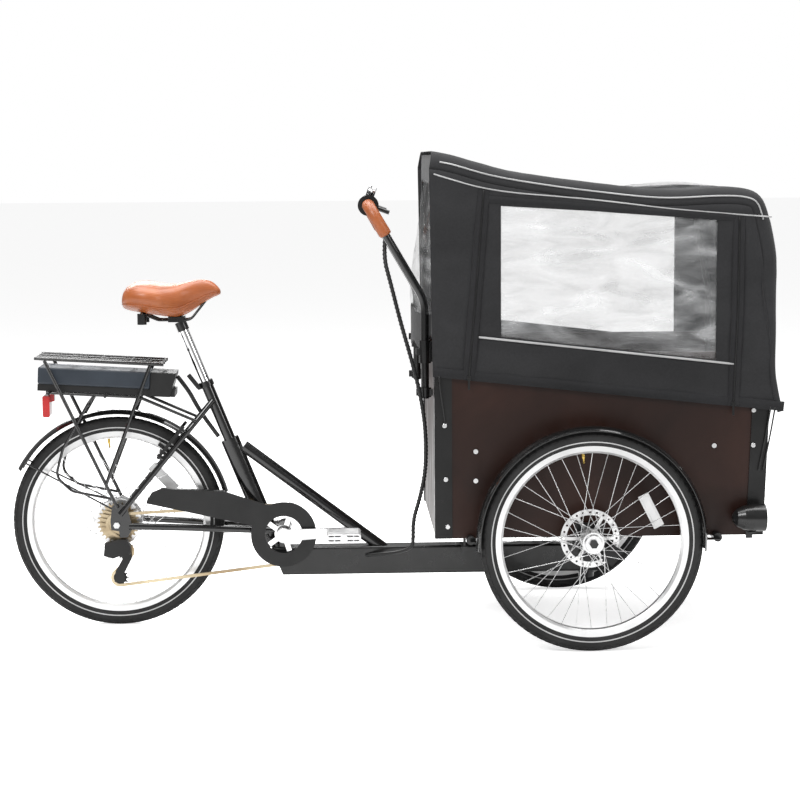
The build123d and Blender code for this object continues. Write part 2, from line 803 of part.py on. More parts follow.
post_len = 372.0
post_top = seat_top + seat_dir * (post_len - post_bottom)
with BuildPart() as seat_post:
    with BuildSketch(seat_plane.offset(-post_bottom)):
        Circle(post_r)
        Circle(post_r - 2.4, mode=Mode.SUBTRACT)
    extrude(amount=post_len)
write(seat_post.part, "seat_post")

saddle_len = 272.0
saddle_half = 120.0
saddle_z = seat_top_z + 180.0
saddle_mid_x = seat_top_x - 87.0
with BuildPart() as saddle:
    for x_offset, half, low, high in (
        (-128.0, 62.0, 50.0, 72.0),
        (-95.0, 108.0, 26.0, 103.0),
        (-40.0, 116.0, 12.0, 100.0),
        (20.0, 82.0, 14.0, 99.0),
        (75.0, 36.0, 40.0, 108.0),
        (125.0, 26.0, 66.0, 96.0),
    ):
        middle = saddle_z + (low + high) / 2
        with BuildSketch(Plane(origin=(saddle_mid_x + x_offset, 0, middle), x_dir=(0, 1, 0), z_dir=(1, 0, 0))):
            Ellipse(half, (high - low) / 2)
    loft()
write(saddle.part, "saddle")
saddle_seat = saddle_z + 12.0
with BuildPart() as saddle_clamp:
    with BuildSketch(seat_plane.offset(post_len - post_bottom + seat_gap)):
        Circle(post_r + 3)
    extrude(amount=-26.0)
    with BuildSketch(seat_plane):
        Circle(post_r + running)
    extrude(amount=post_len - post_bottom, mode=Mode.SUBTRACT)
    clamp_x = seat_top_x - (saddle_seat - seat_top_z) / tan(radians(seat_angle))
    with Locations((clamp_x, 0, saddle_seat - 22.0)):
        Box(46.0, 52.0, 15.0, align=(Align.CENTER, Align.CENTER, Align.MIN))
    for flank in (-1, 1):
        add(
            rod(
                [
                    (saddle_mid_x - 84.0, flank * 30.0, saddle_seat + 3.0),
                    (saddle_mid_x - 40.0, flank * 23.0, saddle_seat - 16.0),
                    (clamp_x + 40.0, flank * 20.0, saddle_seat - 16.0),
                    (saddle_mid_x + 92.0, flank * 8.0, saddle_seat + 36.0),
                ],
                3.5,
                25.0,
            )
        )
        with Locations((saddle_mid_x - 84.0, flank * 44.0, saddle_seat - 26.0)):
            Cylinder(13.0, 30.0, align=(Align.CENTER, Align.CENTER, Align.MIN))
    with Locations((saddle_mid_x - 84.0, 0, saddle_seat - 8.0)):
        Box(12.0, 104.0, 8.0)
    add(saddle.part, mode=Mode.SUBTRACT)
    add(seat_post.part, mode=Mode.SUBTRACT)
write(saddle_clamp.part, "saddle_clamp")

# ---------------------------------------------------------------- rack and battery
rack_r = 5.0
rack_back = Vector(rear_x - 218.0, 0, 776.0)
rack_along = Vector(cos(radians(rack_tilt)), 0, -sin(radians(rack_tilt)))
rack_up = Vector(sin(radians(rack_tilt)), 0, cos(radians(rack_tilt)))
rack_len = 360.0


def on_rack(along, y, up):
    """A point in the tilted rack: along it from the rear end, across, and above its top rails."""
    return rack_back + rack_along * along + Vector(0, y, 0) + rack_up * up


with BuildPart() as rack_top:
    for flank in (-1, 1):
        add(rod([on_rack(0, flank * rack_half, 0), on_rack(rack_len, flank * rack_half, 0)], rack_r))
        add(rod([on_rack(0, flank * rack_half / 3, 0), on_rack(rack_len, flank * rack_half / 3, 0)], 3.5))
    for along in (6.0, 95.0, 180.0, 265.0, rack_len - 6.0):
        add(rod([on_rack(along, -rack_half, 0), on_rack(along, rack_half, 0)], 4.0))
write(rack_top.part, "rack_top")

lower_half = 47.0
lower_drop = -98.0
leg_y = rack_half
guard_y = 66.0
with BuildPart() as rack_sides:
    for flank in (-1, 1):
        rear_leg_top = on_rack(28.0, flank * leg_y, -rack_r)
        rear_leg_foot = Vector(rear_x + 4.0, flank * leg_y, axle_z + 49.0)
        front_leg_top = on_rack(322.0, flank * leg_y, -rack_r)
        front_leg_foot = rear_leg_foot + (rear_leg_top - rear_leg_foot).normalized() * 74.0
        add(rod([rear_leg_top, rear_leg_foot], rack_r))
        add(rod([front_leg_top, front_leg_foot], rack_r))
        lower_rear = on_rack(32.0, flank * lower_half, lower_drop)
        lower_front = on_rack(292.0, flank * lower_half, lower_drop)
        arm_end = seat_stay_foot + seat_stay_dir * (bridge_at + 40.0) + Vector(0, flank * lower_half, 0)
        add(rod([lower_rear, lower_front, arm_end], 4.5, 30.0))
        for along in (44.0, 200.0):
            add(rod([on_rack(along, flank * lower_half, lower_drop), on_rack(along, flank * leg_y, lower_drop)], 4.0))
        guard_top = on_rack(168.0, flank * lower_half, lower_drop)
        add(
            rod(
                [
                    guard_top,
                    guard_top + Vector(-16.0, flank * (guard_y - lower_half), -22.0),
                    (rear_x - 146.0, flank * guard_y, 520.0),
                    (rear_x - 168.0, flank * guard_y, 440.0),
                    (rear_x - 124.0, flank * guard_y, 398.0),
                    (rear_x - 10.0, flank * guard_y, 374.0),
                ],
                4.0,
                [14.0, 60.0, 36.0, 36.0],
            )
        )
        add(rod([(rear_x - 14.0, flank * guard_y, 374.8), (rear_x - 14.0, flank * leg_y, 374.8)], 4.0))
    add(rod([on_rack(44.0, -leg_y, lower_drop), on_rack(44.0, leg_y, lower_drop)], 4.0))
    add(rack_top.part, mode=Mode.SUBTRACT)
write(rack_sides.part, "rack_sides")

battery_back = 8.0
battery_len_slide = battery_len - 70.0
battery_low = lower_drop + 4.5 + 20.0
rack_plane = Plane(origin=on_rack(0, 0, 0), x_dir=rack_along, z_dir=(0, -1, 0))
tray_t = 12.0
with BuildPart() as battery:
    with BuildSketch(rack_plane):
        with Locations((battery_back + battery_len_slide / 2, battery_low + battery_h / 2)):
            Rectangle(battery_len_slide, battery_h)
    extrude(amount=battery_half, both=True)
    fillet(battery.edges().filter_by(GeomType.LINE), 6.0)
write(battery.part, "battery")
with BuildPart() as battery_tray:
    with BuildSketch(rack_plane):
        with Locations((battery_back, lower_drop + 4.5 + seat_gap)):
            Rectangle(battery_len, battery_low - lower_drop - 4.5 - 2 * seat_gap, align=(Align.MIN, Align.MIN))
    extrude(amount=battery_half - 8, both=True)
    block_back = battery_back + battery_len_slide + seat_gap
    with BuildSketch(rack_plane):
        Polygon(
            (block_back, lower_drop + 4.5 + seat_gap),
            (battery_back + battery_len - 14, lower_drop + 4.5 + seat_gap),
            (battery_back + battery_len, battery_low + battery_h - 10),
            (battery_back + battery_len, battery_low + battery_h),
            (block_back, battery_low + battery_h),
            align=None,
        )
    extrude(amount=battery_half, both=True)
battery_tray_front = on_rack(battery_back + battery_len, 0, battery_low + battery_h - 5)
write(battery_tray.part, "battery_tray")

tail = Vector(rear_x - 206.0, 0, 603.0)
with BuildPart() as tail_light:
    with Locations((tail.X, 0, tail.Z)):
        Box(20.0, 46.0, 61.0, align=(Align.MIN, Align.CENTER, Align.MIN))
    fillet(tail_light.edges().filter_by(Axis.Y), 5.0)
    holder = on_rack(44.0, 0, lower_drop - 4.0)
    with BuildSketch(side(0)):
        Polygon(
            (tail.X + 14, tail.Z + 40),
            (holder.X + 6, holder.Z - 24),
            (holder.X + 6, holder.Z - seat_gap),
            (holder.X - 8, holder.Z - seat_gap),
            (tail.X + 14, tail.Z + 56),
            align=None,
        )
    extrude(amount=12.0, both=True)
write(tail_light.part, "tail_light")


# ---------------------------------------------------------------- fenders
def fender(x, y, inner_r, half_wide, drop, start, end, thick):
    """A curved strip round a wheel, from one angle to another, crowned across its width."""
    with BuildPart() as piece:
        with BuildSketch(spin_plane(x, y, start)):
            with BuildLine():
                outer = ThreePointArc(
                    (inner_r + thick - drop, -half_wide), (inner_r + thick, 0), (inner_r + thick - drop, half_wide)
                )
                Line(outer @ 1, (inner_r - drop, half_wide))
                ThreePointArc((inner_r - drop, half_wide), (inner_r, 0), (inner_r - drop, -half_wide))
                Line((inner_r - drop, -half_wide), outer @ 0)
            make_face()
        revolve(axis=wheel_axis(x), revolution_arc=end - start)
    return piece.part


fender_t = 2.0
rear_fender_r = tyre_r + 21.0
with BuildPart() as rear_fender:
    add(fender(rear_x, 0, rear_fender_r, 29.0, 11.0, 15.0, 151.0, fender_t))
    for flank in (-1, 1):
        stay_angle = radians(146.0)
        stay_top = Vector(
            rear_x + (rear_fender_r - 8) * cos(stay_angle), flank * 30.0, axle_z + (rear_fender_r - 8) * sin(stay_angle)
        )
        add(rod([stay_top, (rear_x - 12.0, flank * (drop_y - 2.5 - seat_gap), axle_z + 44.0)], 2.5))
write(rear_fender.part, "rear_fender")

# ---------------------------------------------------------------- chain guard
guard_in = chain_y - 8.0
guard_t = 3.0
guard_r = ring_r + 8.0
with BuildPart() as chain_guard:
    with BuildSketch(side(guard_in)):
        with Locations((bb_x, bb_z)):
            Circle(guard_r)
        Polygon(
            (rear_x + 84, axle_z + 60),
            (rear_x + 84, axle_z + 66),
            (rear_x + 100, axle_z + 92),
            (rear_x + 125, axle_z + 102),
            (rear_x + 305, axle_z + 92),
            (bb_x - 46, bb_z + guard_r * 0.92),
            (bb_x + 30, bb_z + guard_r * 0.92),
            (bb_x + 10, bb_z),
            (bb_x - guard_r * 0.92, bb_z + 26),
            align=None,
        )
        with Locations((bb_x, bb_z)):
            Circle(ring_r - 32.0, mode=Mode.SUBTRACT)
    extrude(amount=guard_t)
    with BuildSketch(side(guard_in)):
        with Locations((bb_x, bb_z)):
            Circle(guard_r)
            Circle(guard_r - guard_t, mode=Mode.SUBTRACT)
        with Locations((bb_x + 16, bb_z)):
            Rectangle(2 * guard_r, 3 * guard_r, align=(Align.MAX, Align.CENTER), mode=Mode.SUBTRACT)
    extrude(amount=-8.0)
    with BuildSketch(side(guard_in)):
        Polygon(
            (rear_x + 125, axle_z + 102),
            (rear_x + 305, axle_z + 92),
            (rear_x + 305, axle_z + 88),
            (rear_x + 125, axle_z + 98),
            align=None,
        )
    extrude(amount=-20.0)
    with Locations(Plane(origin=(rear_x + 96, guard_in, axle_z + 68), z_dir=(0, 1, 0))):
        Cylinder(4.0, 8.0, align=(Align.CENTER, Align.CENTER, Align.MIN))
write(chain_guard.part, "chain_guard")

# ---------------------------------------------------------------- rear rim brake
for flank, label in ((-1, "brake_arm_right"), (1, "brake_arm_left")):
    pivot = brake_pivot + Vector(0, flank * brake_pivot_y, 0) + brake_out * arm_in
    arm_plane = Plane(origin=pivot, x_dir=seat_stay_dir, z_dir=brake_out)
    pad_from_rim = rim_w / 2 + 2.0
    with BuildPart() as brake_arm:
        with BuildSketch(arm_plane):
            Circle(9.0)
            with Locations((arm_len / 2, 0)):
                Rectangle(arm_len, 2 * arm_half_y)
            with Locations((arm_len, 0)):
                Circle(arm_half_y)
        extrude(amount=arm_t)
        pad_reach = rim_r - 8.0
        pad_at = -halfway + sqrt(halfway**2 - to_foot.dot(to_foot) + pad_reach**2) - brake_at
        pad_len = brake_pivot_y - pad_from_rim + arm_half_y / 2
        pad_middle = brake_pivot + seat_stay_dir * (pad_at - 6.0) + brake_out * (arm_in + arm_t / 2)
        with Locations(
            Plane(origin=pad_middle + Vector(0, flank * pad_from_rim, 0), x_dir=brake_out, z_dir=(0, flank, 0))
        ):
            Cylinder(3.0, pad_len, align=(Align.CENTER, Align.CENTER, Align.MIN))
            Box(46.0, 9.0, 9.0, align=(Align.CENTER, Align.CENTER, Align.MIN))
        with BuildSketch(arm_plane):
            Circle(4.0 + running)
        extrude(amount=arm_t * 2, mode=Mode.SUBTRACT)
    write(brake_arm.part, label)

# ---------------------------------------------------------------- steered front: chassis
cross_tube_r = 12.0
cross_tube_z = rail_low - 2.0
cross_tube_xs = (box_rear + 93.0, box_rear + 765.0)
cross_tube_half = box_half + 25.0
rail_half = box_half - ply
stub_plate_t = 8.0
stub_plate_y = cross_tube_half - stub_plate_t
rail_back = box_rear + ply
rail_front = box_front - ply - 6.0
with BuildPart() as chassis:
    with BuildSketch(Plane.XY.offset(rail_low)):
        with Locations(((rail_back + rail_front) / 2, 0)):
            Rectangle(rail_front - rail_back, 2 * rail_half)
            Rectangle(rail_front - rail_back - 2 * rail_w, 2 * (rail_half - rail_w), mode=Mode.SUBTRACT)
    extrude(amount=rail_h)
    for tube_x in cross_tube_xs:
        add(
            rod(
                [(tube_x, -cross_tube_half, cross_tube_z), (tube_x, cross_tube_half, cross_tube_z)],
                cross_tube_r,
            )
        )
    beam_back_x = front_x - 45.0
    beam_front_x = steer_x + 45.0
    with Locations(((beam_back_x + beam_front_x) / 2, 0, axle_beam_low)):
        Box(
            beam_front_x - beam_back_x,
            2 * stub_plate_y,
            axle_beam_h,
            align=(Align.CENTER, Align.CENTER, Align.MIN),
        )
    for flank in (-1, 1):
        with BuildSketch(side(flank * stub_plate_y)):
            with Locations((front_x, axle_z)):
                RectangleRounded(80.0, 80.0, 12.0)
        extrude(amount=-flank * stub_plate_t)
        with Locations(Plane(origin=(front_x, flank * stub_plate_y, axle_z), z_dir=(0, flank, 0))):
            Cylinder(hub_bore, track / 2 - stub_plate_y + 41.0, align=(Align.CENTER, Align.CENTER, Align.MIN))
        with BuildSketch(side(flank * (track / 2 + front_flange_y + flange_t / 2 + 8.0 + travel_gap))):
            with Locations((front_x, axle_z)):
                RegularPolygon(12.0, 6)
        extrude(amount=-flank * 8.0)
    pin_low = head_low - 14.0
    with Locations((steer_x, 0, pin_low)):
        Cylinder(kingpin_r, axle_beam_low - pin_low + 1, align=(Align.CENTER, Align.CENTER, Align.MIN))
        Cylinder(head_tube_r - 3, 14.0 - travel_gap, align=(Align.CENTER, Align.CENTER, Align.MIN))
write(chassis.part, "chassis")

# A caliper stands astride each rotor, on an arm from the stub plate.
caliper_half = 8.0
caliper_at = Vector(60.0, 0, -46.0)
with BuildPart() as brake_calipers:
    for flank in (-1, 1):
        rotor_at = track / 2 - rotor_y
        with Locations(Location((front_x + caliper_at.X, flank * rotor_at, axle_z + caliper_at.Z), (0, 38.0, 0))):
            Box(38.0, 2 * caliper_half, 50.0)
        with BuildSketch(side(flank * (rotor_at + rotor_t / 2 + travel_gap))):
            with Locations((front_x, axle_z)):
                Circle(rotor_r + 1.5)
        extrude(amount=flank * (rotor_t + 2 * travel_gap), mode=Mode.SUBTRACT)
        with Locations((front_x + 24.0, flank * (cross_tube_half + seat_gap), axle_z - 62.0)):
            Box(
                50.0,
                rotor_at - caliper_half + 2 - cross_tube_half - seat_gap,
                24.0,
                align=(Align.MIN, Align.MIN if flank > 0 else Align.MAX, Align.MIN),
            )
write(brake_calipers.part, "brake_calipers")

# ---------------------------------------------------------------- box
lean = 18.0  # how far the box's front leans forwards over its height
box_h = box_top - box_low
tube_hole = cross_tube_r + seat_gap

with BuildPart() as box_panels:
    for flank in (-1, 1):
        with BuildSketch(side(flank * (box_half - ply))):
            Polygon(
                (box_rear, box_low),
                (box_front, box_low),
                (box_front + lean, box_top),
                (box_rear, box_top),
                align=None,
            )
        extrude(amount=-flank * ply)
    for tube_x in cross_tube_xs:
        with Locations(Plane(origin=(tube_x, -track, cross_tube_z), z_dir=(0, 1, 0))):
            Cylinder(tube_hole, 2 * track, align=(Align.CENTER, Align.CENTER, Align.MIN), mode=Mode.SUBTRACT)
    with Locations((box_rear, 0, box_low)):
        Box(ply, 2 * rail_half - 0.02, box_h, align=(Align.MIN, Align.CENTER, Align.MIN))
    with BuildSketch(side(0)):
        Polygon(
            (box_front - ply, box_low),
            (box_front, box_low),
            (box_front + lean, box_top),
            (box_front + lean - ply, box_top),
            align=None,
        )
    extrude(amount=rail_half - 0.01, both=True)
    with Locations((box_rear + ply + seat_gap, 0, rail_top)):
        Box(
            box_len - 2 * ply - 2 * seat_gap,
            2 * rail_half - 2 * seat_gap,
            ply,
            align=(Align.MIN, Align.CENTER, Align.MIN),
        )
write(box_panels.part, "box_panels")

angle_w = 44.0
angle_t = 3.0
with BuildPart() as box_corners:
    for flank in (-1, 1):
        for at_low, at_top, inward in ((box_rear, box_rear, 1), (box_front, box_front + lean, -1)):
            with BuildSketch(side(flank * box_half)):
                Polygon(
                    (at_low - inward * angle_t, box_low),
                    (at_low + inward * angle_w, box_low),
                    (at_top + inward * angle_w, box_top),
                    (at_top - inward * angle_t, box_top),
                    align=None,
                )
            extrude(amount=-flank * angle_t)
            with BuildSketch(side(flank * (box_half + angle_t))):
                Polygon(
                    (at_low - inward * angle_t, box_low),
                    (at_low, box_low),
                    (at_top, box_top),
                    (at_top - inward * angle_t, box_top),
                    align=None,
                )
            extrude(amount=flank * angle_w)
write(box_corners.part, "box_corners")

screw_r = 6.5
screw_h = 4.0
screw_places = (
    (24.0, 607.0, angle_t),
    (27.0, 460.0, angle_t),
    (32.0, 330.0, angle_t),
    (108.0, 535.0, 0.0),
    (108.0, 455.0, 0.0),
    (756.0, 544.0, 0.0),
    (862.0, 544.0, angle_t),
    (862.0, 640.0, angle_t),
)
with BuildPart() as box_screws:
    for flank in (-1, 1):
        for along, height, proud in screw_places:
            head = (box_rear + along, flank * (box_half + proud + seat_gap), height)
            with Locations(Plane(origin=head, z_dir=(0, flank, 0))):
                Cylinder(screw_r, screw_h, align=(Align.CENTER, Align.CENTER, Align.MIN))
    fillet(box_screws.edges().filter_by(GeomType.CIRCLE).group_by(Axis.Y)[0], 1.5)
write(box_screws.part, "box_screws")

# ---------------------------------------------------------------- front fenders and headlight
front_fender_r = tyre_r + 10.0
with BuildPart() as front_fenders:
    for flank in (-1, 1):
        add(fender(front_x, flank * track / 2, front_fender_r, 30.0, 10.0, -5.0, 184.0, fender_t))
        for tube_x in cross_tube_xs:
            reach = tube_x - front_x
            inward = 1 if reach < 0 else -1
            tab_x = front_x + (front_fender_r + 1) * (1 if reach > 0 else -1)
            low = min(tube_x, tab_x) - 2
            with Locations((low, flank * (cross_tube_half + seat_gap), cross_tube_z)):
                Box(
                    abs(tube_x - tab_x) + 6,
                    30.0,
                    fender_t,
                    align=(Align.MIN, Align.MIN if flank > 0 else Align.MAX, Align.CENTER),
                )
write(front_fenders.part, "front_fenders")

lamp_r = 37.0
lamp_y = -(box_half + angle_t + lamp_r + 4.0)
lamp_x = box_front - 92.0
lamp_z = 352.0
lamp_len = 90.0
with BuildPart() as headlight:
    with BuildSketch(side(lamp_y)):
        Polygon(
            (lamp_x, lamp_z),
            (lamp_x + lamp_len, lamp_z),
            (lamp_x + lamp_len, lamp_z + lamp_r),
            (lamp_x + 0.62 * lamp_len, lamp_z + lamp_r),
            (lamp_x + 0.36 * lamp_len, lamp_z + 0.88 * lamp_r),
            (lamp_x + 0.15 * lamp_len, lamp_z + 0.64 * lamp_r),
            (lamp_x + 0.03 * lamp_len, lamp_z + 0.3 * lamp_r),
            align=None,
        )
    revolve(axis=Axis((lamp_x, lamp_y, lamp_z), (1, 0, 0)))
lamp_foot_x = lamp_x + 0.62 * lamp_len
with BuildPart() as lamp_bracket:
    with Locations((lamp_foot_x, lamp_y, lamp_z - lamp_r - seat_gap)):
        Box(18.0, 20.0, 4.0, align=(Align.CENTER, Align.CENTER, Align.MAX))
    with Locations((lamp_foot_x, lamp_y - 10.0, lamp_z - lamp_r - seat_gap)):
        Box(18.0, -lamp_y - box_half - angle_t - seat_gap + 10.0, 4.0, align=(Align.CENTER, Align.MIN, Align.MAX))
    with Locations((lamp_foot_x, -box_half - angle_t - seat_gap, lamp_z - lamp_r - seat_gap)):
        Box(18.0, 4.0, 26.0, align=(Align.CENTER, Align.MAX, Align.MAX))
write(Compound([headlight.part, lamp_bracket.part]), "headlight")

# ---------------------------------------------------------------- canopy
# Heights of the canopy's skyline along the box, from the rear hoop to the front hem.
skyline = [
    (0.0, 1344.0),
    (166.0, 1301.0),
    (454.0, 1257.0),
    (616.0, 1242.0),
    (774.0, 1246.0),
    (847.0, 1241.0),
    (886.0, 1222.0),
    (908.0, 1178.0),
    (931.0, 1078.0),
    (936.0, 1020.0),
    (934.0, 931.0),
    (930.0, 770.0),
]
canopy_back = box_rear - angle_t - canopy_t - 1.5
hem_back = 740.0
hem_front = 637.0
curtain_low = 838.0


def canopy_body(inset):
    """The canopy's outline between its sides, or what is left inside a skin of that thickness."""
    places = [Vector(canopy_back + along, height) for along, height in skyline]
    ahead = places[1:] + places[-1:]
    behind = places[:1] + places[:-1]
    runs = [after - before for before, after in zip(behind, ahead)]
    inner = [place + Vector(run.Y, -run.X).normalized() * inset for place, run in zip(places, runs)]
    heel = (canopy_back + inset, hem_back - 2 * inset)
    toe = (front_x + nose - inset, hem_front - 2 * inset)
    with BuildPart() as body:
        with BuildSketch(side(0)):
            with BuildLine():
                sky = Spline(*inner)
                Line(sky @ 1, toe)
                Line(toe, heel)
                Line(heel, sky @ 0)
            make_face()
        extrude(amount=canopy_half - inset, both=True)
        roof_edges = body.edges().filter_by(lambda edge: edge.length > 1000 and edge.center().Z > 1000)
        fillet(roof_edges, canopy_round - inset)
    return body.part


with BuildPart() as canopy:
    add(canopy_body(0.0))
    add(canopy_body(canopy_t), mode=Mode.SUBTRACT)
    # The rear ends in a curtain: below it the box's rear wall and the bar's legs are open.
    with Locations((canopy_back, 0, curtain_low)):
        Box(40.0, 2 * (canopy_half - 8), 400.0, align=(Align.CENTER, Align.CENTER, Align.MAX), mode=Mode.SUBTRACT)
    side_window = [
        (box_rear + 176.0, 858.0),
        (box_rear + 724.0, 792.0),
        (box_rear + 724.0, 1150.0),
        (box_rear + 176.0, 1196.0),
    ]
    with BuildSketch(side(0)):
        Polygon(*side_window, align=None)
    extrude(amount=track, both=True, mode=Mode.SUBTRACT)
    roof_window_x = (box_rear + 560.0, box_rear + 830.0)
    with Locations((canopy_back, 0, 1065.0)):
        Box(40.0, 400.0, 330.0, mode=Mode.SUBTRACT)
    with Locations((sum(roof_window_x) / 2, 0, 1200.0)):
        Box(roof_window_x[1] - roof_window_x[0], 380.0, 200.0, mode=Mode.SUBTRACT)
write(canopy.part, "canopy")

film_t = 1.0
film_inset = 1.0
with BuildPart() as canopy_windows:
    for flank in (-1, 1):
        with BuildSketch(side(flank * (canopy_half - canopy_t + film_inset))):
            Polygon(*side_window, align=None)
            offset(amount=-seat_gap)
        extrude(amount=-flank * film_t)
    with Locations((canopy_back + film_inset, 0, 1065.0)):
        Box(film_t, 400.0 - 2 * seat_gap, 330.0 - 2 * seat_gap, align=(Align.MIN, Align.CENTER, Align.CENTER))
    with BuildSketch(side(0)):
        with BuildLine():
            film = Spline(*[(canopy_back + along, height - film_inset) for along, height in skyline[2:6]])
            under = Spline(*[(canopy_back + along, height - film_inset - film_t) for along, height in skyline[2:6]])
            Line(film @ 0, under @ 0)
            Line(film @ 1, under @ 1)
        make_face()
    extrude(amount=190.0 - seat_gap, both=True)
    keep = (roof_window_x[0] + seat_gap, roof_window_x[1] - seat_gap)
    with Locations((canopy_back + canopy_t, 0, 1250.0)):
        Box(
            keep[0] - canopy_back - canopy_t,
            400.0,
            150.0,
            align=(Align.MIN, Align.CENTER, Align.CENTER),
            mode=Mode.SUBTRACT,
        )
    with Locations((keep[1], 0, 1250.0)):
        Box(300.0, 400.0, 150.0, align=(Align.MIN, Align.CENTER, Align.CENTER), mode=Mode.SUBTRACT)
write(canopy_windows.part, "canopy_windows")

# Two hoops stand in the box's ends and carry the canopy.
hoop_y = box_half - ply - hoop_r - 2.0
hoop_foot_z = box_top - 260.0
with BuildPart() as canopy_hoops:
    for along, top, foot_x in (
        (14.0, 1344.0, box_rear + ply + hoop_r + 2.0),
        (800.0, 1244.0, canopy_back + 862.0),
    ):
        top_x = canopy_back + along + 8.0
        high = top - canopy_t - hoop_r - 9.0
        add(
            rod(
                [
                    (foot_x, -hoop_y, hoop_foot_z),
                    (foot_x, -hoop_y, box_top + 120.0),
                    (top_x, -hoop_y, high),
                    (top_x, hoop_y, high),
                    (foot_x, hoop_y, box_top + 120.0),
                    (foot_x, hoop_y, hoop_foot_z),
                ],
                hoop_r,
                [60.0, 55.0, 55.0, 60.0],
            )
        )
write(canopy_hoops.part, "canopy_hoops")

# ---------------------------------------------------------------- handlebar
bar_x = box_rear - bar_behind_box
bar_low = 672.0
bar_bend_z = 938.0
bar_top_x = bar_x - 150.0
bar_top_z = 1196.0
bar_top_bend = 45.0
bar_path = [
    (bar_x, -bar_half, bar_low),
    (bar_x, -bar_half, bar_bend_z),
    (bar_top_x, -bar_half, bar_top_z),
    (bar_top_x, bar_half, bar_top_z),
    (bar_x, bar_half, bar_bend_z),
    (bar_x, bar_half, bar_low),
]
with BuildPart() as handlebar:
    add(rod(bar_path, bar_r, [110.0, bar_top_bend, bar_top_bend, 110.0]))
write(handlebar.part, "handlebar")

sleeve_r = 16.5
sleeve_places = ((769.0, 62.0), (676.0, 26.0))
with BuildPart() as bar_clamps:
    for flank in (-1, 1):
        for low, high in sleeve_places:
            with Locations((bar_x, flank * bar_half, low)):
                Cylinder(sleeve_r, high, align=(Align.CENTER, Align.CENTER, Align.MIN))
            with Locations((bar_x, flank * bar_half, low + 4.0)):
                Box(
                    bar_behind_box - angle_t - seat_gap,
                    24.0,
                    high - 8.0,
                    align=(Align.MIN, Align.CENTER, Align.MIN),
                )
            with Locations((bar_x, flank * bar_half, low + high / 2)):
                Box(sleeve_r + 8.0, 16.0, 18.0, align=(Align.MAX, Align.CENTER, Align.CENTER))
            with Locations((bar_x, flank * bar_half, low)):
                Cylinder(
                    bar_r + running, high, align=(Align.CENTER, Align.CENTER, Align.MIN), mode=Mode.SUBTRACT
                )
write(bar_clamps.part, "bar_clamps")

grip_r = 17.5
grip_below = 92.0
slope = (Vector(bar_x, 0, bar_bend_z) - Vector(bar_top_x, 0, bar_top_z)).normalized()
with BuildPart() as grips:
    for flank in (-1, 1):
        corner = Vector(bar_top_x, flank * bar_half, bar_top_z)
        with BuildLine() as grip_path:
            FilletPolyline(
                corner + slope * grip_below, corner, corner - Vector(0, flank * (bar_top_bend + 2), 0), radius=bar_top_bend
            )
        with BuildSketch(Plane(origin=grip_path.line @ 0, z_dir=grip_path.line % 0)):
            Circle(grip_r)
            Circle(bar_r + seat_gap, mode=Mode.SUBTRACT)
        sweep(path=grip_path.line)
write(grips.part, "grips")

drum_r = 28.5
drum_w = 24.0
drum_out = bar_half - bar_top_bend - 4.0
with BuildPart() as gear_twist:
    with Locations(Plane(origin=(bar_top_x, -drum_out, bar_top_z), z_dir=(0, 1, 0))):
        Cylinder(drum_r, drum_w, align=(Align.CENTER, Align.CENTER, Align.MIN))
        Cylinder(bar_r + running, drum_w, align=(Align.CENTER, Align.CENTER, Align.MIN), mode=Mode.SUBTRACT)
write(gear_twist.part, "gear_twist")

# Brake levers stand above the bar; each turns towards the grip about a pin in its mount.
lever_out = Vector(0.34, 0, 0.94).normalized()
mount_y = drum_out - drum_w - 14.0
pivot_out = 34.0
pivot_back = 8.0
pin_r = 3.0
ear_in = 5.4
ear_out = 8.0
lever_axis = Vector(0, 1, 0).cross(lever_out)
with BuildPart() as lever_mounts:
    for flank in (-1, 1):
        ring_plane = Plane(
            origin=(bar_top_x, flank * mount_y, bar_top_z), x_dir=lever_out, z_dir=(0, flank, 0)
        )
        with BuildSketch(ring_plane):
            Circle(17.0)
            with Locations((14.0, 0)):
                Rectangle(24.0, 2 * ear_out)
            with Locations((30.0, (ear_in + ear_out) / 2), (30.0, -(ear_in + ear_out) / 2)):
                Rectangle(22.0, ear_out - ear_in)
            Circle(bar_r + seat_gap, mode=Mode.SUBTRACT)
        extrude(amount=-2 * pivot_back)
        pivot = Vector(bar_top_x, flank * (mount_y - pivot_back), bar_top_z) + lever_out * pivot_out
        with Locations(Plane(origin=pivot - lever_axis * ear_out, z_dir=lever_axis)):
            Cylinder(pin_r, 2 * ear_out, align=(Align.CENTER, Align.CENTER, Align.MIN))
        barrel = Vector(bar_top_x, flank * (mount_y - pivot_back), bar_top_z)
        add(rod([barrel + lever_axis * 16.0, barrel + lever_axis * 62.0], 6.0))
write(lever_mounts.part, "lever_mounts")

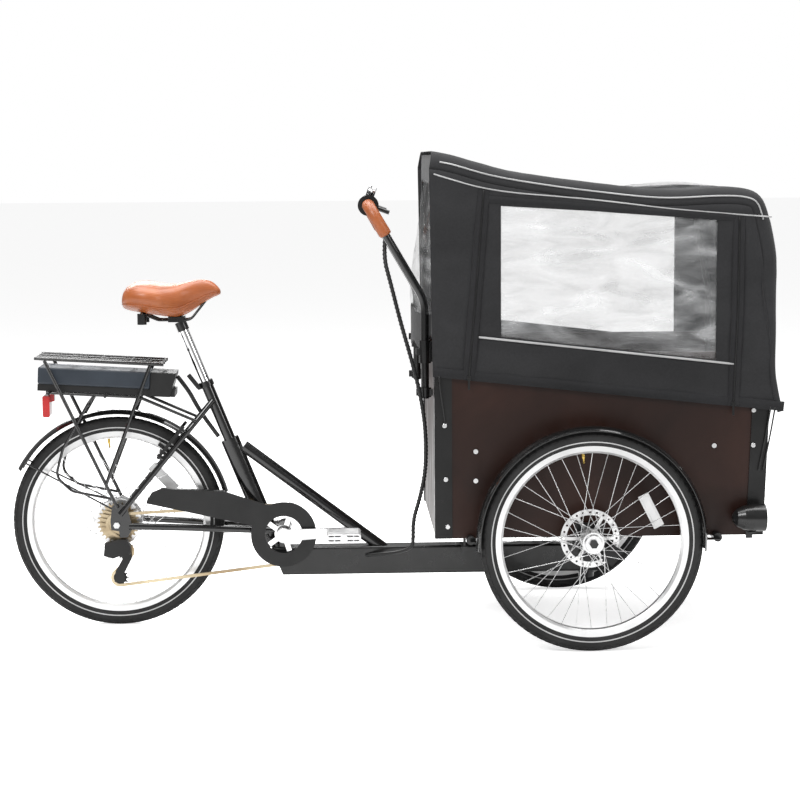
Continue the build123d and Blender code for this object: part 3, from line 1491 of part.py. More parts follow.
blade_r = 4.0
for flank, label in ((-1, "brake_lever_right"), (1, "brake_lever_left")):
    bar_middle = Vector(bar_top_x, 0, bar_top_z)
    pivot = bar_middle + Vector(0, flank * (mount_y - pivot_back), 0) + lever_out * pivot_out
    blade = [
        pivot,
        bar_middle + Vector(0, flank * (mount_y + 8.0), 0) + lever_out * (pivot_out + 5.0),
        bar_middle + Vector(0, flank * (mount_y + 62.0), 0) + lever_out * (pivot_out + 7.0),
        bar_middle + Vector(0, flank * (mount_y + 108.0), 0) + lever_out * (pivot_out + 13.0),
    ]
    with BuildPart() as brake_lever:
        with Locations(Plane(origin=pivot - lever_axis * (ear_in - travel_gap), z_dir=lever_axis)):
            Cylinder(7.0, 2 * (ear_in - travel_gap), align=(Align.CENTER, Align.CENTER, Align.MIN))
        add(rod(blade, blade_r, 20.0))
        with Locations(blade[-1]):
            Sphere(5.5)
        with Locations(Plane(origin=pivot - lever_axis * ear_out, z_dir=lever_axis)):
            Cylinder(
                pin_r + running, 2 * ear_out, align=(Align.CENTER, Align.CENTER, Align.MIN), mode=Mode.SUBTRACT
            )
    write(brake_lever.part, label)

# ---------------------------------------------------------------- cables and damper
# The wiring from the handlebar hangs behind the box in one sleeve. It is split where
# it passes from the steered front to the frame, at an upright stretch.
harness_r = 6.0
split = Vector(rear_x + 834.0, -146.0, 268.0)
front_route = [
    (rear_x + 764.0, -(mount_y + 2.0), 1128.0),
    (rear_x + 754.0, -188.0, 1062.0),
    (rear_x + 774.0, -216.0, 985.0),
    (rear_x + 798.0, -238.0, 885.0),
    (rear_x + 829.0, -264.0, 775.0),
    (rear_x + 853.0, -276.0, 675.0),
    (rear_x + 866.0, -262.0, 570.0),
    (rear_x + 866.0, -224.0, 470.0),
    (rear_x + 852.0, -176.0, 385.0),
    (split.X, split.Y, 318.0),
    (split.X, split.Y, split.Z),
]
frame_route = [
    (split.X, split.Y, split.Z - 2 * travel_gap),
    (split.X - 2, split.Y + 2, split.Z - 30.0),
    (rear_x + 792.0, -92.0, 214.0),
    (rear_x + 740.0, -50.0, 202.0),
    (rear_x + 704.0, -beam_w / 2 - seat_gap, 196.0),
]
write(cord(front_route, harness_r, "harness_front"), "harness_front")
power_route = [
    (battery_tray_front.X + seat_gap, 0, battery_tray_front.Z - 8.0),
    (rear_x + 204.0, 0, 674.0),
    (rear_x + 224.0, 0, 634.0),
    (rear_x + 252.0, 0, 588.0),
    (rear_x + 287.0, 0, 540.0),
]
with BuildPart() as frame_cables:
    add(cord(frame_route, harness_r, "harness_frame"))
    add(cord(power_route, harness_r, "battery_cable"))
    add(seat_tube.part, mode=Mode.SUBTRACT)
    add(main_beam.part, mode=Mode.SUBTRACT)
    add(battery_tray.part, mode=Mode.SUBTRACT)
write(frame_cables.part, "frame_cables")

damper_back = Vector(box_rear + 26.0, -150.0, 284.0)
damper_front = Vector(box_rear + 96.0, -44.0, 252.0)
with BuildPart() as steering_damper:
    along = (damper_front - damper_back).normalized()
    add(rod([damper_back, damper_front], 4.0))
    add(rod([damper_back + along * 20, damper_front - along * 34], 11.0))
    with Locations(damper_back, damper_front):
        Sphere(8.0)
    with Locations(damper_back):
        Cylinder(5.0, rail_low - damper_back.Z - seat_gap, align=(Align.CENTER, Align.CENTER, Align.MIN))
write(steering_damper.part, "steering_damper")
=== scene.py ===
"""The looks of a front-loading cargo tricycle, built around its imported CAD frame.

Places come from the frame's own nodes. All sizes are in metres, in the row frame:
+X forwards, +Y to the rider's left, +Z up.
"""

import math

import bmesh
import bpy
from mathutils import Matrix, Vector, noise


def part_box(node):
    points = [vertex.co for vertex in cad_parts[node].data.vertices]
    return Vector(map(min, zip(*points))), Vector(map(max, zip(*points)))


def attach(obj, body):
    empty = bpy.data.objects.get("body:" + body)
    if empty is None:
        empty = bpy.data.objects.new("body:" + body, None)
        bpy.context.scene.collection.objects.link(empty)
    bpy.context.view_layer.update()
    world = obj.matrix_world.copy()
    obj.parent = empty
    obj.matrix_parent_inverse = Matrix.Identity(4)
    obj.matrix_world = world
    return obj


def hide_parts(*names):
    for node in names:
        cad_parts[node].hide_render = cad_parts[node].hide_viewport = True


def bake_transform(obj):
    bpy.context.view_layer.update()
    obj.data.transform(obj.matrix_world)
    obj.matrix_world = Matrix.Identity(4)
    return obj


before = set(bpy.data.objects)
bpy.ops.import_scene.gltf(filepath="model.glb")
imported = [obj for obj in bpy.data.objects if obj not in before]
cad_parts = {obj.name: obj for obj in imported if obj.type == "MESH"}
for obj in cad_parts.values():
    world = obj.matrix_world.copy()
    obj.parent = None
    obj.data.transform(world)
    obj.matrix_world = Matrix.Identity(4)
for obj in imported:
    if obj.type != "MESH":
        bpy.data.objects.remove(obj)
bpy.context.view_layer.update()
scene = bpy.context.scene
Y_AXIS = Vector((0, 1, 0))


# ------------------------------------------------------------------ camera and stage
camera = bpy.data.objects.new("camera", bpy.data.cameras.new("camera"))
camera.data.lens = 89.2
camera.data.sensor_width = 36.0
camera.location = (-0.164, -5.61, 1.318)
YAW, PITCH, ROLL = (math.radians(v) for v in (2.05, 6.9, -0.38))
ahead = Vector((math.sin(YAW) * math.cos(PITCH), math.cos(YAW) * math.cos(PITCH), -math.sin(PITCH)))
level = Vector((math.cos(YAW), -math.sin(YAW), 0))
upright = level.cross(ahead)
right = level * math.cos(ROLL) + upright * math.sin(ROLL)
upward = upright * math.cos(ROLL) - level * math.sin(ROLL)
camera.rotation_mode = "QUATERNION"
camera.rotation_quaternion = Matrix((right, upward, -ahead)).transposed().to_quaternion()
scene.collection.objects.link(camera)
scene.camera = camera


def node_material(name):
    """A new material and its shader, node tree and the coordinates of the object's own space."""
    material = bpy.data.materials.new(name)
    material.use_nodes = True
    tree = material.node_tree
    shader = tree.nodes["Principled BSDF"]
    coordinates = tree.nodes.new("ShaderNodeTexCoord")
    return material, shader, tree, coordinates.outputs["Object"]


def noise_node(tree, place, scale, detail=3.0, stretch=(1, 1, 1), distortion=0.0):
    """A noise texture on the object's coordinates, stretched by different scales along X, Y and Z."""
    mapping = tree.nodes.new("ShaderNodeMapping")
    mapping.inputs["Scale"].default_value = stretch
    tree.links.new(place, mapping.inputs["Vector"])
    texture = tree.nodes.new("ShaderNodeTexNoise")
    texture.inputs["Scale"].default_value = scale
    texture.inputs["Detail"].default_value = detail
    texture.inputs["Distortion"].default_value = distortion
    tree.links.new(mapping.outputs["Vector"], texture.inputs["Vector"])
    return texture.outputs["Fac"]


def ramp(tree, value, stops):
    """A colour ramp with (position, colour) stops; a number stands for a grey."""
    node = tree.nodes.new("ShaderNodeValToRGB")
    elements = node.color_ramp.elements
    while len(elements) < len(stops):
        elements.new(0.5)
    for element, (position, colour) in zip(elements, stops):
        element.position = position
        element.color = (colour,) * 3 + (1,) if isinstance(colour, (int, float)) else (*colour, 1)
    tree.links.new(value, node.inputs["Fac"])
    return node.outputs["Color"]


def bump(tree, shader, height, strength, distance):
    node = tree.nodes.new("ShaderNodeBump")
    node.inputs["Strength"].default_value = strength
    node.inputs["Distance"].default_value = distance
    tree.links.new(height, node.inputs["Height"])
    previous = shader.inputs["Normal"].links
    if previous:
        tree.links.new(previous[0].from_socket, node.inputs["Normal"])
    tree.links.new(node.outputs["Normal"], shader.inputs["Normal"])


def finish_of(name, dark, light, rough, metallic=0.0, coat=0.0, grain=(60.0, 0.1, 0.0004), stretch=(1, 1, 1)):
    """A finish whose colour runs between two shades, roughness varies, and surface has a fine grain.

    rough is (smoothest, roughest); grain is (scale, strength, height in metres).
    """
    material, shader, tree, place = node_material(name)
    cloud = noise_node(tree, place, 9.0, 4.0)
    tree.links.new(ramp(tree, cloud, [(0.3, dark), (0.7, light)]), shader.inputs["Base Color"])
    smear = noise_node(tree, place, 24.0, 5.0, stretch)
    tree.links.new(ramp(tree, smear, [(0.25, rough[0]), (0.75, rough[1])]), shader.inputs["Roughness"])
    shader.inputs["Metallic"].default_value = metallic
    shader.inputs["Coat Weight"].default_value = coat
    shader.inputs["Coat Roughness"].default_value = 0.08
    shader.inputs["Specular IOR Level"].default_value = 0.35
    fine = noise_node(tree, place, grain[0], 4.0, stretch)
    bump(tree, shader, fine, grain[1], grain[2])
    return material


def leather(name):
    """Tan leather: creased pebble grain, and a tan that varies in soft patches."""
    material, shader, tree, place = node_material(name)
    cells = tree.nodes.new("ShaderNodeTexVoronoi")
    cells.feature = "DISTANCE_TO_EDGE"
    cells.inputs["Scale"].default_value = 520.0
    tree.links.new(place, cells.inputs["Vector"])
    cloud = noise_node(tree, place, 14.0, 6.0)
    stops = [(0.25, (0.25, 0.06, 0.013)), (0.55, (0.33, 0.085, 0.019)), (0.8, (0.4, 0.118, 0.03))]
    tan = ramp(tree, cloud, stops)
    tree.links.new(tan, shader.inputs["Base Color"])
    smear = noise_node(tree, place, 30.0, 4.0)
    tree.links.new(ramp(tree, smear, [(0.3, 0.34), (0.7, 0.5)]), shader.inputs["Roughness"])
    shader.inputs["Coat Weight"].default_value = 0.12
    bump(tree, shader, ramp(tree, cells.outputs["Distance"], [(0.0, 0.0), (0.22, 1.0)]), 0.3, 0.0004)
    bump(tree, shader, noise_node(tree, place, 90.0, 5.0), 0.2, 0.0006)
    return material


def cloth(name, dark, light):
    """Coated canvas: crossed threads, faint stains and soft creases."""
    material, shader, tree, place = node_material(name)
    stain = noise_node(tree, place, 5.0, 6.0, (1, 1, 1.6), 0.4)
    mottle = noise_node(tree, place, 160.0, 3.0)
    mix = tree.nodes.new("ShaderNodeMix")
    mix.data_type = "RGBA"
    mix.inputs["Factor"].default_value = 0.25
    tree.links.new(ramp(tree, stain, [(0.25, dark), (0.75, light)]), mix.inputs[6])
    tree.links.new(ramp(tree, mottle, [(0.3, dark), (0.7, light)]), mix.inputs[7])
    tree.links.new(mix.outputs[2], shader.inputs["Base Color"])
    shader.inputs["Roughness"].default_value = 0.88
    shader.inputs["Sheen Weight"].default_value = 0.08
    shader.inputs["Specular IOR Level"].default_value = 0.2
    for direction in ("X", "Z", "Y"):
        threads = tree.nodes.new("ShaderNodeTexWave")
        threads.wave_type = "BANDS"
        threads.bands_direction = direction
        threads.inputs["Scale"].default_value = 330.0
        threads.inputs["Distortion"].default_value = 1.2
        tree.links.new(place, threads.inputs["Vector"])
        bump(tree, shader, threads.outputs["Fac"], 0.12, 0.0003)
    bump(tree, shader, noise_node(tree, place, 11.0, 5.0, (1, 1, 0.7), 0.8), 0.35, 0.006)
    return material


def clear_film(name):
    """Soft clear plastic sheet, crinkled, with a faint milky haze."""
    material, shader, tree, place = node_material(name)
    haze = noise_node(tree, place, 6.0, 5.0, (1, 1, 3), 1.0)
    milky = ramp(tree, haze, [(0.3, (0.6, 0.61, 0.62)), (0.7, (0.9, 0.91, 0.92))])
    tree.links.new(milky, shader.inputs["Base Color"])
    alpha = ramp(tree, haze, [(0.3, 0.1), (0.5, 0.2), (0.75, 0.42)])
    tree.links.new(alpha, shader.inputs["Alpha"])
    shader.inputs["Roughness"].default_value = 0.06
    shader.inputs["Coat Weight"].default_value = 1.0
    shader.inputs["Coat Roughness"].default_value = 0.03
    shader.inputs["Specular IOR Level"].default_value = 0.9
    bump(tree, shader, noise_node(tree, place, 17.0, 6.0, (0.5, 1, 1.6), 1.8), 0.9, 0.01)
    return material


def film_faced_ply(name):
    """Dark brown film-faced plywood with a faint wire pattern and worn, cloudy patches."""
    material, shader, tree, place = node_material(name)
    cloud = noise_node(tree, place, 3.4, 7.0, (1, 1, 1), 0.6)
    stops = [(0.2, (0.009, 0.0032, 0.002)), (0.5, (0.019, 0.0072, 0.0048)), (0.8, (0.034, 0.0135, 0.009))]
    brown = ramp(tree, cloud, stops)
    tree.links.new(brown, shader.inputs["Base Color"])
    smear = noise_node(tree, place, 30.0, 6.0, (1, 1, 0.2))
    tree.links.new(ramp(tree, smear, [(0.3, 0.3), (0.7, 0.5)]), shader.inputs["Roughness"])
    shader.inputs["Specular IOR Level"].default_value = 0.25
    for direction in ("X", "Z"):
        wires = tree.nodes.new("ShaderNodeTexWave")
        wires.bands_direction = direction
        wires.inputs["Scale"].default_value = 130.0
        wires.inputs["Distortion"].default_value = 0.6
        tree.links.new(place, wires.inputs["Vector"])
        bump(tree, shader, wires.outputs["Fac"], 0.06, 0.0003)
    return material


GLOSS_BLACK = finish_of(
    "gloss_black_paint", 0.004, 0.008, (0.14, 0.24), coat=0.7, grain=(420.0, 0.05, 0.0002)
)
BEAM_BLACK = finish_of(
    "satin_black_paint", 0.005, 0.011, (0.24, 0.36), coat=0.3, grain=(300.0, 0.08, 0.0003)
)
DARK_METAL = finish_of(
    "dark_grey_metal", 0.006, 0.014, (0.24, 0.42), 0.2, grain=(120.0, 0.1, 0.0003)
)
PLASTIC = finish_of("black_plastic", 0.006, 0.012, (0.32, 0.48), grain=(900.0, 0.12, 0.0002))
RUBBER = finish_of("tyre_rubber", 0.01, 0.02, (0.62, 0.85), grain=(500.0, 0.25, 0.0004))
WIRING = finish_of("cable_sheath", 0.008, 0.018, (0.38, 0.52), grain=(700.0, 0.1, 0.0002))
ALUMINIUM = finish_of(
    "brushed_aluminium", 0.62, 0.8, (0.22, 0.36), 1.0, grain=(140.0, 0.06, 0.0002), stretch=(1, 8, 1)
)
RIM_SILVER = finish_of("silver_rim", 0.7, 0.84, (0.26, 0.4), 0.85, grain=(200.0, 0.05, 0.0002))
STEEL = finish_of("spoke_steel", 0.55, 0.7, (0.2, 0.32), 1.0, grain=(400.0, 0.04, 0.0001))
CHROME = finish_of("chrome", 0.82, 0.92, (0.05, 0.12), 1.0, grain=(80.0, 0.03, 0.0002))
GOLD_STEEL = finish_of("oiled_chain_steel", (0.3, 0.22, 0.13), (0.62, 0.53, 0.37), (0.26, 0.42), 1.0)
BRASS = finish_of("brass_valve", (0.5, 0.34, 0.08), (0.68, 0.48, 0.14), (0.2, 0.34), 1.0)
PIPING = finish_of("grey_piping", 0.3, 0.42, (0.5, 0.65), grain=(700.0, 0.2, 0.0003))
STRIPE = finish_of("reflective_stripe", 0.36, 0.5, (0.4, 0.5), grain=(700.0, 0.1, 0.0002))
RED_LENS = finish_of(
    "red_lens", (0.4, 0.004, 0.004), (0.62, 0.012, 0.01), (0.08, 0.16), coat=1.0, grain=(90.0, 0.2, 0.001)
)
REFLECTOR = finish_of("clear_reflector", 0.5, 0.66, (0.12, 0.2), coat=0.9, grain=(260.0, 0.6, 0.0012))
BATTERY_DARK = finish_of(
    "battery_case", (0.018, 0.024, 0.032), (0.03, 0.038, 0.05), (0.36, 0.5), grain=(800.0, 0.12, 0.0002)
)
STITCH = finish_of(
    "waxed_thread", (0.2, 0.06, 0.015), (0.3, 0.1, 0.03), (0.55, 0.7), grain=(900.0, 0.2, 0.0002)
)
LEATHER = leather("tan_leather")
CLOTH = cloth("charcoal_canvas", (0.014, 0.014, 0.0148), (0.027, 0.027, 0.0285))
CLOTH_BAND = cloth("charcoal_band", (0.011, 0.011, 0.0118), (0.021, 0.021, 0.0225))
FILM = clear_film("clear_film")
PLY = film_faced_ply("film_faced_plywood")

NODE_FINISH = {
    GLOSS_BLACK: "frame_tubes chain_stays seat_stays rack_top rack_sides rear_fender front_fenders"
    " handlebar bar_clamps",
    DARK_METAL: "box_corners canopy_hoops",
    PLASTIC: "chain_guard derailleur brake_calipers brake_arm_left brake_arm_right jockey_guide"
    " jockey_tension gear_twist seat_lever battery_tray",
    BATTERY_DARK: "battery",
    RUBBER: "tyre_front_left tyre_front_right tyre_rear",
    WIRING: "frame_cables harness_front",
    ALUMINIUM: "crank_arms hub_front_left hub_front_right hub_motor rear_axle steering_damper",
    RIM_SILVER: "rim_front_left rim_front_right rim_rear pedal_left pedal_right",
    STEEL: "spokes_front_left spokes_front_right spokes_rear box_screws",
    GOLD_STEEL: "chain cassette",
    CHROME: "seat_post chainring brake_lever_left brake_lever_right",
    PLY: "box_panels",
    LEATHER: "saddle grips",
    CLOTH: "canopy",
    FILM: "canopy_windows",
    RED_LENS: "tail_light",
    BEAM_BLACK: "main_beam chassis lever_mounts seat_clamp saddle_clamp headlight",
}
for material, names in NODE_FINISH.items():
    for name in names.split():
        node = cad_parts[name]
        node.data.materials.clear()
        node.data.materials.append(material)


# ------------------------------------------------------------------ mesh helpers
def piece(name, vertices, faces, body, material, smooth=True, indices=None):
    """A mesh piece that rides on a body. indices gives a material number for each face."""
    mesh = bpy.data.meshes.new(name)
    mesh.from_pydata([tuple(v) for v in vertices], [], faces)
    for finish in material if isinstance(material, (list, tuple)) else [material]:
        mesh.materials.append(finish)
    for polygon in mesh.polygons:
        polygon.use_smooth = smooth
        if indices:
            polygon.material_index = indices[polygon.index]
    mesh.update()
    obj = bpy.data.objects.new(name, mesh)
    scene.collection.objects.link(obj)
    if body:
        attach(obj, body)
    return obj


def modify(obj, kind, **settings):
    modifier = obj.modifiers.new(kind.lower(), kind)
    for key, value in settings.items():
        setattr(modifier, key, value)
    return modifier


def spline(points, steps=8):
    """A Catmull-Rom curve through points."""
    points = [Vector(p) for p in points]
    padded = [points[0] * 2 - points[1], *points, points[-1] * 2 - points[-2]]
    line = []
    for a, b, c, d in zip(padded, padded[1:], padded[2:], padded[3:]):
        for step in range(steps):
            t = step / steps
            square, cube = 2 * a - 5 * b + 4 * c - d, 3 * b - a - 3 * c + d
            line.append(0.5 * (2 * b + (c - a) * t + square * t**2 + cube * t**3))
    return line + [points[-1]]


def frames_along(points):
    """Two axes square to the line at each of its points, carried along without twist."""
    points = [Vector(p) for p in points]
    axes = []
    side = None
    for i, point in enumerate(points):
        run = (points[min(i + 1, len(points) - 1)] - points[max(i - 1, 0)]).normalized()
        if side is None:
            side = run.orthogonal().normalized()
        side = (side - run * side.dot(run)).normalized()
        axes.append((side, run.cross(side)))
    return axes


def tube_mesh(points, radius, sides=10):
    """Vertices and faces of a capped tube; radius is a number or one for each point."""
    vertices, faces = [], []
    count = len(points)
    for i, (point, (u, v)) in enumerate(zip(points, frames_along(points))):
        r = radius[i] if isinstance(radius, (list, tuple)) else radius
        for k in range(sides):
            angle = 2 * math.pi * k / sides
            vertices.append(Vector(point) + u * r * math.cos(angle) + v * r * math.sin(angle))
    for i in range(count - 1):
        for k in range(sides):
            a, b = i * sides + k, i * sides + (k + 1) % sides
            faces.append((a, b, b + sides, a + sides))
    faces.append(tuple(reversed(range(sides))))
    faces.append(tuple(range((count - 1) * sides, count * sides)))
    return vertices, faces


def tube(name, points, radius, body, material, sides=10):
    return piece(name, *tube_mesh(points, radius, sides), body, material)


def length_of(line):
    return sum((b - a).length for a, b in zip(line, line[1:]))


def joined(parts):
    """One vertex and face list from several."""
    vertices, faces = [], []
    for part_vertices, part_faces in parts:
        start = len(vertices)
        vertices += part_vertices
        faces += [tuple(index + start for index in face) for face in part_faces]
    return vertices, faces


def lathe(profile, centre, axis=Y_AXIS, segments=96):
    """A closed ring turned from (radius, height) points about an axis through centre."""
    u = axis.orthogonal().normalized()
    v = axis.cross(u)
    rows = len(profile)
    vertices, faces = [], []
    for s in range(segments):
        angle = 2 * math.pi * s / segments
        out = u * math.cos(angle) + v * math.sin(angle)
        vertices += [Vector(centre) + out * r + axis * h for r, h in profile]
    for s in range(segments):
        for k in range(rows - 1):
            a, b = s * rows + k, ((s + 1) % segments) * rows + k
            faces.append((a, b, b + 1, a + 1))
    return vertices, faces


def block(centre, u, v, w, size):
    """Vertices and faces of a brick along three square directions."""
    vertices = []
    for i in (-0.5, 0.5):
        for j in (-0.5, 0.5):
            for k in (-0.5, 0.5):
                vertices.append(Vector(centre) + u * size[0] * i + v * size[1] * j + w * size[2] * k)
    return vertices, [(0, 1, 3, 2), (4, 6, 7, 5), (0, 4, 5, 1), (2, 3, 7, 6), (0, 2, 6, 4), (1, 5, 7, 3)]


def bricks(name, parts, body, material, bevel=0.0006):
    obj = piece(name, *joined(parts), body, material, smooth=False)
    modify(obj, "BEVEL", width=bevel, segments=2)
    return obj


X, Z = Vector((1, 0, 0)), Vector((0, 0, 1))

# ------------------------------------------------------------------ wheels
TREAD = 0.0016  # height of the tread blocks
TREAD_ROWS = (-42, -15, 15, 42)  # degrees round the tyre's section from its crown
TREAD_COUNT = 84


def wheel_looks(place, body):
    """Tyre with sidewall stripes and tread blocks, a valve and spoke reflectors."""
    low, high = (Vector(v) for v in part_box("tyre_" + place))
    centre = (low + high) / 2
    half = (high.y - low.y) / 2
    outer = (high.z - low.z) / 2
    crown = outer - half
    section = half - TREAD
    degrees = list(range(-140, 141, 4))
    profile = [
        (crown + section * math.cos(math.radians(a)), section * math.sin(math.radians(a))) for a in degrees
    ]
    vertices, faces = lathe(profile, centre, segments=144)
    striped = [1 if 100 <= abs(degrees[k] + 2) <= 108 else 0 for k in range(len(degrees) - 1)] * 144
    tyre = piece("tyre_skin_" + place, vertices, faces, body, [RUBBER, STRIPE], indices=striped)
    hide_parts("tyre_" + place)
    blocks = []
    for step in range(TREAD_COUNT):
        for row, lean in enumerate(TREAD_ROWS):
            turn = 2 * math.pi * (step + 0.5 * (row % 2)) / TREAD_COUNT
            out = Vector((math.cos(turn), 0, math.sin(turn)))
            along = Vector((-math.sin(turn), 0, math.cos(turn)))
            tilt = math.radians(lean)
            normal = out * math.cos(tilt) + Y_AXIS * math.sin(tilt)
            across = Y_AXIS * math.cos(tilt) - out * math.sin(tilt)
            at = centre + out * crown + normal * (section + TREAD / 2 - 0.0006)
            size = (0.015, 0.012, TREAD + 0.0008) if abs(lean) > 30 else (0.017, 0.008, TREAD + 0.0008)
            blocks.append(block(at, along, across, normal, size))
    tread = piece("tread_" + place, *joined(blocks), body, RUBBER, smooth=False)
    rim_r = (Vector(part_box("rim_" + place)[1]).z - Vector(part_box("rim_" + place)[0]).z) / 2
    valve_out = Vector((math.cos(math.radians(96)), 0, math.sin(math.radians(96))))
    start = centre + valve_out * (rim_r - 0.024)
    ends = [start, start - valve_out * 0.012, start - valve_out * 0.013, start - valve_out * 0.026]
    valve = tube("valve_" + place, ends, [0.0042, 0.0042, 0.003, 0.003], body, BRASS, 12)
    plates = []
    for angle in ((27,) if place != "rear" else (44,)):
        turn = math.radians(angle)
        out = Vector((math.cos(turn), 0, math.sin(turn)))
        along = Vector((-math.sin(turn), 0, math.cos(turn)))
        middle = centre + out * (rim_r * 0.68)
        plates.append(block(middle, along, out, Y_AXIS, (0.098, 0.03, 0.006)))
        plates.append(block(middle, along, out, Y_AXIS, (0.088, 0.02, 0.009)))
    plate = bricks("reflectors_" + place, plates, body, REFLECTOR, 0.002)


for wheel_place, wheel_body in (
    ("front_right", "wheel_front_right"),
    ("front_left", "wheel_front_left"),
    ("rear", "wheel_rear"),
):
    wheel_looks(wheel_place, wheel_body)

# ------------------------------------------------------------------ saddle
# Stations along the saddle: x, top, bottom, half width, all in metres.
SADDLE = [
    (-0.744, 0.934, 0.918, 0.030),
    (-0.738, 0.957, 0.908, 0.066),
    (-0.722, 0.975, 0.902, 0.092),
    (-0.698, 0.984, 0.897, 0.108),
    (-0.668, 0.984, 0.892, 0.114),
    (-0.638, 0.979, 0.887, 0.106),
    (-0.610, 0.976, 0.883, 0.086),
    (-0.580, 0.979, 0.884, 0.062),
    (-0.550, 0.986, 0.898, 0.043),
    (-0.520, 0.989, 0.918, 0.033),
    (-0.494, 0.983, 0.934, 0.028),
    (-0.476, 0.968, 0.942, 0.022),
    (-0.468, 0.956, 0.946, 0.010),
]
SADDLE_SIDES = 40


def saddle_ring(x, top, bottom, half):
    """A closed section: a padded crown with a shallow groove, and a skirt that tucks under."""
    ring = []
    middle, rise = (top + bottom) / 2, (top - bottom) / 2
    for k in range(SADDLE_SIDES):
        angle = 2 * math.pi * k / SADDLE_SIDES
        c, s = math.cos(angle), math.sin(angle)
        y = half * math.copysign(abs(c) ** 0.72, c)
        z = middle + rise * math.copysign(abs(s) ** 0.8, s)
        if s > 0:
            z -= 0.005 * math.exp(-((y / 0.014) ** 2)) * min(1.0, half / 0.1)
        else:
            y *= 1 - 0.3 * abs(s)
        ring.append(Vector((x, y, z)))
    return ring


stations = spline([Vector((x, top, bottom)) for x, top, bottom, _ in SADDLE], 3)
halves = spline([Vector((half, 0, 0)) for _, _, _, half in SADDLE], 3)
rings = [saddle_ring(s.x, s.y, s.z, h.x) for s, h in zip(stations, halves)]
vertices = [v for ring in rings for v in ring]
faces = []
for i in range(len(rings) - 1):
    for k in range(SADDLE_SIDES):
        a, b = i * SADDLE_SIDES + k, i * SADDLE_SIDES + (k + 1) % SADDLE_SIDES
        faces.append((a, a + SADDLE_SIDES, b + SADDLE_SIDES, b))
faces.append(tuple(range(SADDLE_SIDES)))
faces.append(tuple(reversed(range(len(vertices) - SADDLE_SIDES, len(vertices)))))
saddle = piece("saddle_cover", vertices, faces, "seat", LEATHER)
modify(saddle, "SUBSURF", levels=1, render_levels=2)
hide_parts("saddle")
for flank in (-1, 1):
    edge = [ring[int(SADDLE_SIDES * (0.94 if flank > 0 else 0.56))] for ring in rings[2:-3]]
    edge = [p + Vector((0, flank * 0.001, 0)) for p in edge]
    seam = tube(f"saddle_seam_{'left' if flank > 0 else 'right'}", edge, 0.0016, "seat", LEATHER, 8)


# ------------------------------------------------------------------ grips
def rounded(points, radius, steps=10):
    """A run of straight lines with its corners rounded by arcs."""
    points = [Vector(p) for p in points]
    line = [points[0]]
    for before, corner, after in zip(points, points[1:], points[2:]):
        a, b = (before - corner).normalized(), (after - corner).normalized()
        half_turn = a.angle(b) / 2
        reach = radius / math.tan(half_turn)
        middle = corner + (a + b).normalized() * radius / math.sin(half_turn)
        first, last = corner + a * reach - middle, corner + b * reach - middle
        for step in range(steps + 1):
            line.append(middle + first.normalized().slerp(last.normalized(), step / steps) * radius)
    return line + [points[-1]]


GRIP_R = 0.0175
BAR_HALF = 0.24  # half the bar's width, to its bends
BAR_TOP = Vector((-0.053, 0, 1.196))
BAR_SLOPE = Vector((0.15, 0, -0.258)).normalized()
BAR_BEND = 0.0449
GRIP_DOWN, GRIP_IN = 0.092, 0.047  # how far a grip reaches down the leg and along the top
SEAM_FACES = Vector((-0.3, 0, -1))


def resampled(line, count):
    """count points at even distances along a line."""
    lengths = [0.0]
    for a, b in zip(line, line[1:]):
        lengths.append(lengths[-1] + (b - a).length)
    result = []
    for step in range(count):
        want = lengths[-1] * step / (count - 1)
        i = max(k for k in range(len(line) - 1) if lengths[k] <= want + 1e-9)
        share = (want - lengths[i]) / max(lengths[i + 1] - lengths[i], 1e-9)
        result.append(line[i].lerp(line[i + 1], share))
    return result


grip_parts, stitch_parts = [], []
for flank in (-1, 1):
    corner = BAR_TOP + Vector((0, flank * BAR_HALF, 0))
    ends = corner + BAR_SLOPE * GRIP_DOWN, corner, corner - Vector((0, flank * GRIP_IN, 0))
    line = resampled(rounded(ends, BAR_BEND), 60)
    swell = []
    for i in range(len(line)):
        t = i / (len(line) - 1)
        full = min(1.0, t / 0.05, (1 - t) / 0.05)
        swell.append(GRIP_R * (0.86 + 0.14 * math.sin(0.5 * math.pi * full)) - 0.0008 * math.sin(math.pi * t))
    grip_parts.append(tube_mesh(line, swell, 28))
    for i, (u, v) in list(enumerate(frames_along(line)))[4:-4:2]:
        run = (line[i + 1] - line[i - 1]).normalized()
        inward = (SEAM_FACES - run * run.dot(SEAM_FACES)).normalized()
        across = inward.cross(run)
        along_seam = line[i] + inward * (swell[i] + 0.0002)
        stitch_parts.append(block(along_seam, run, across, inward, (0.0034, 0.0012, 0.0012)))
        stitch_parts.append(block(line[i] + inward * swell[i], run, across, inward, (0.001, 0.006, 0.0009)))
grips = piece("leather_grips", *joined(grip_parts), "front", LEATHER)
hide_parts("grips")
bricks("grip_stitching", stitch_parts, "front", STITCH, 0.0003)

# ------------------------------------------------------------------ canopy
canopy_low, canopy_high = (Vector(v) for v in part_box("canopy"))
BACK = canopy_low.x
HALF = canopy_high.y - 0.0015
SKIN = 0.0016
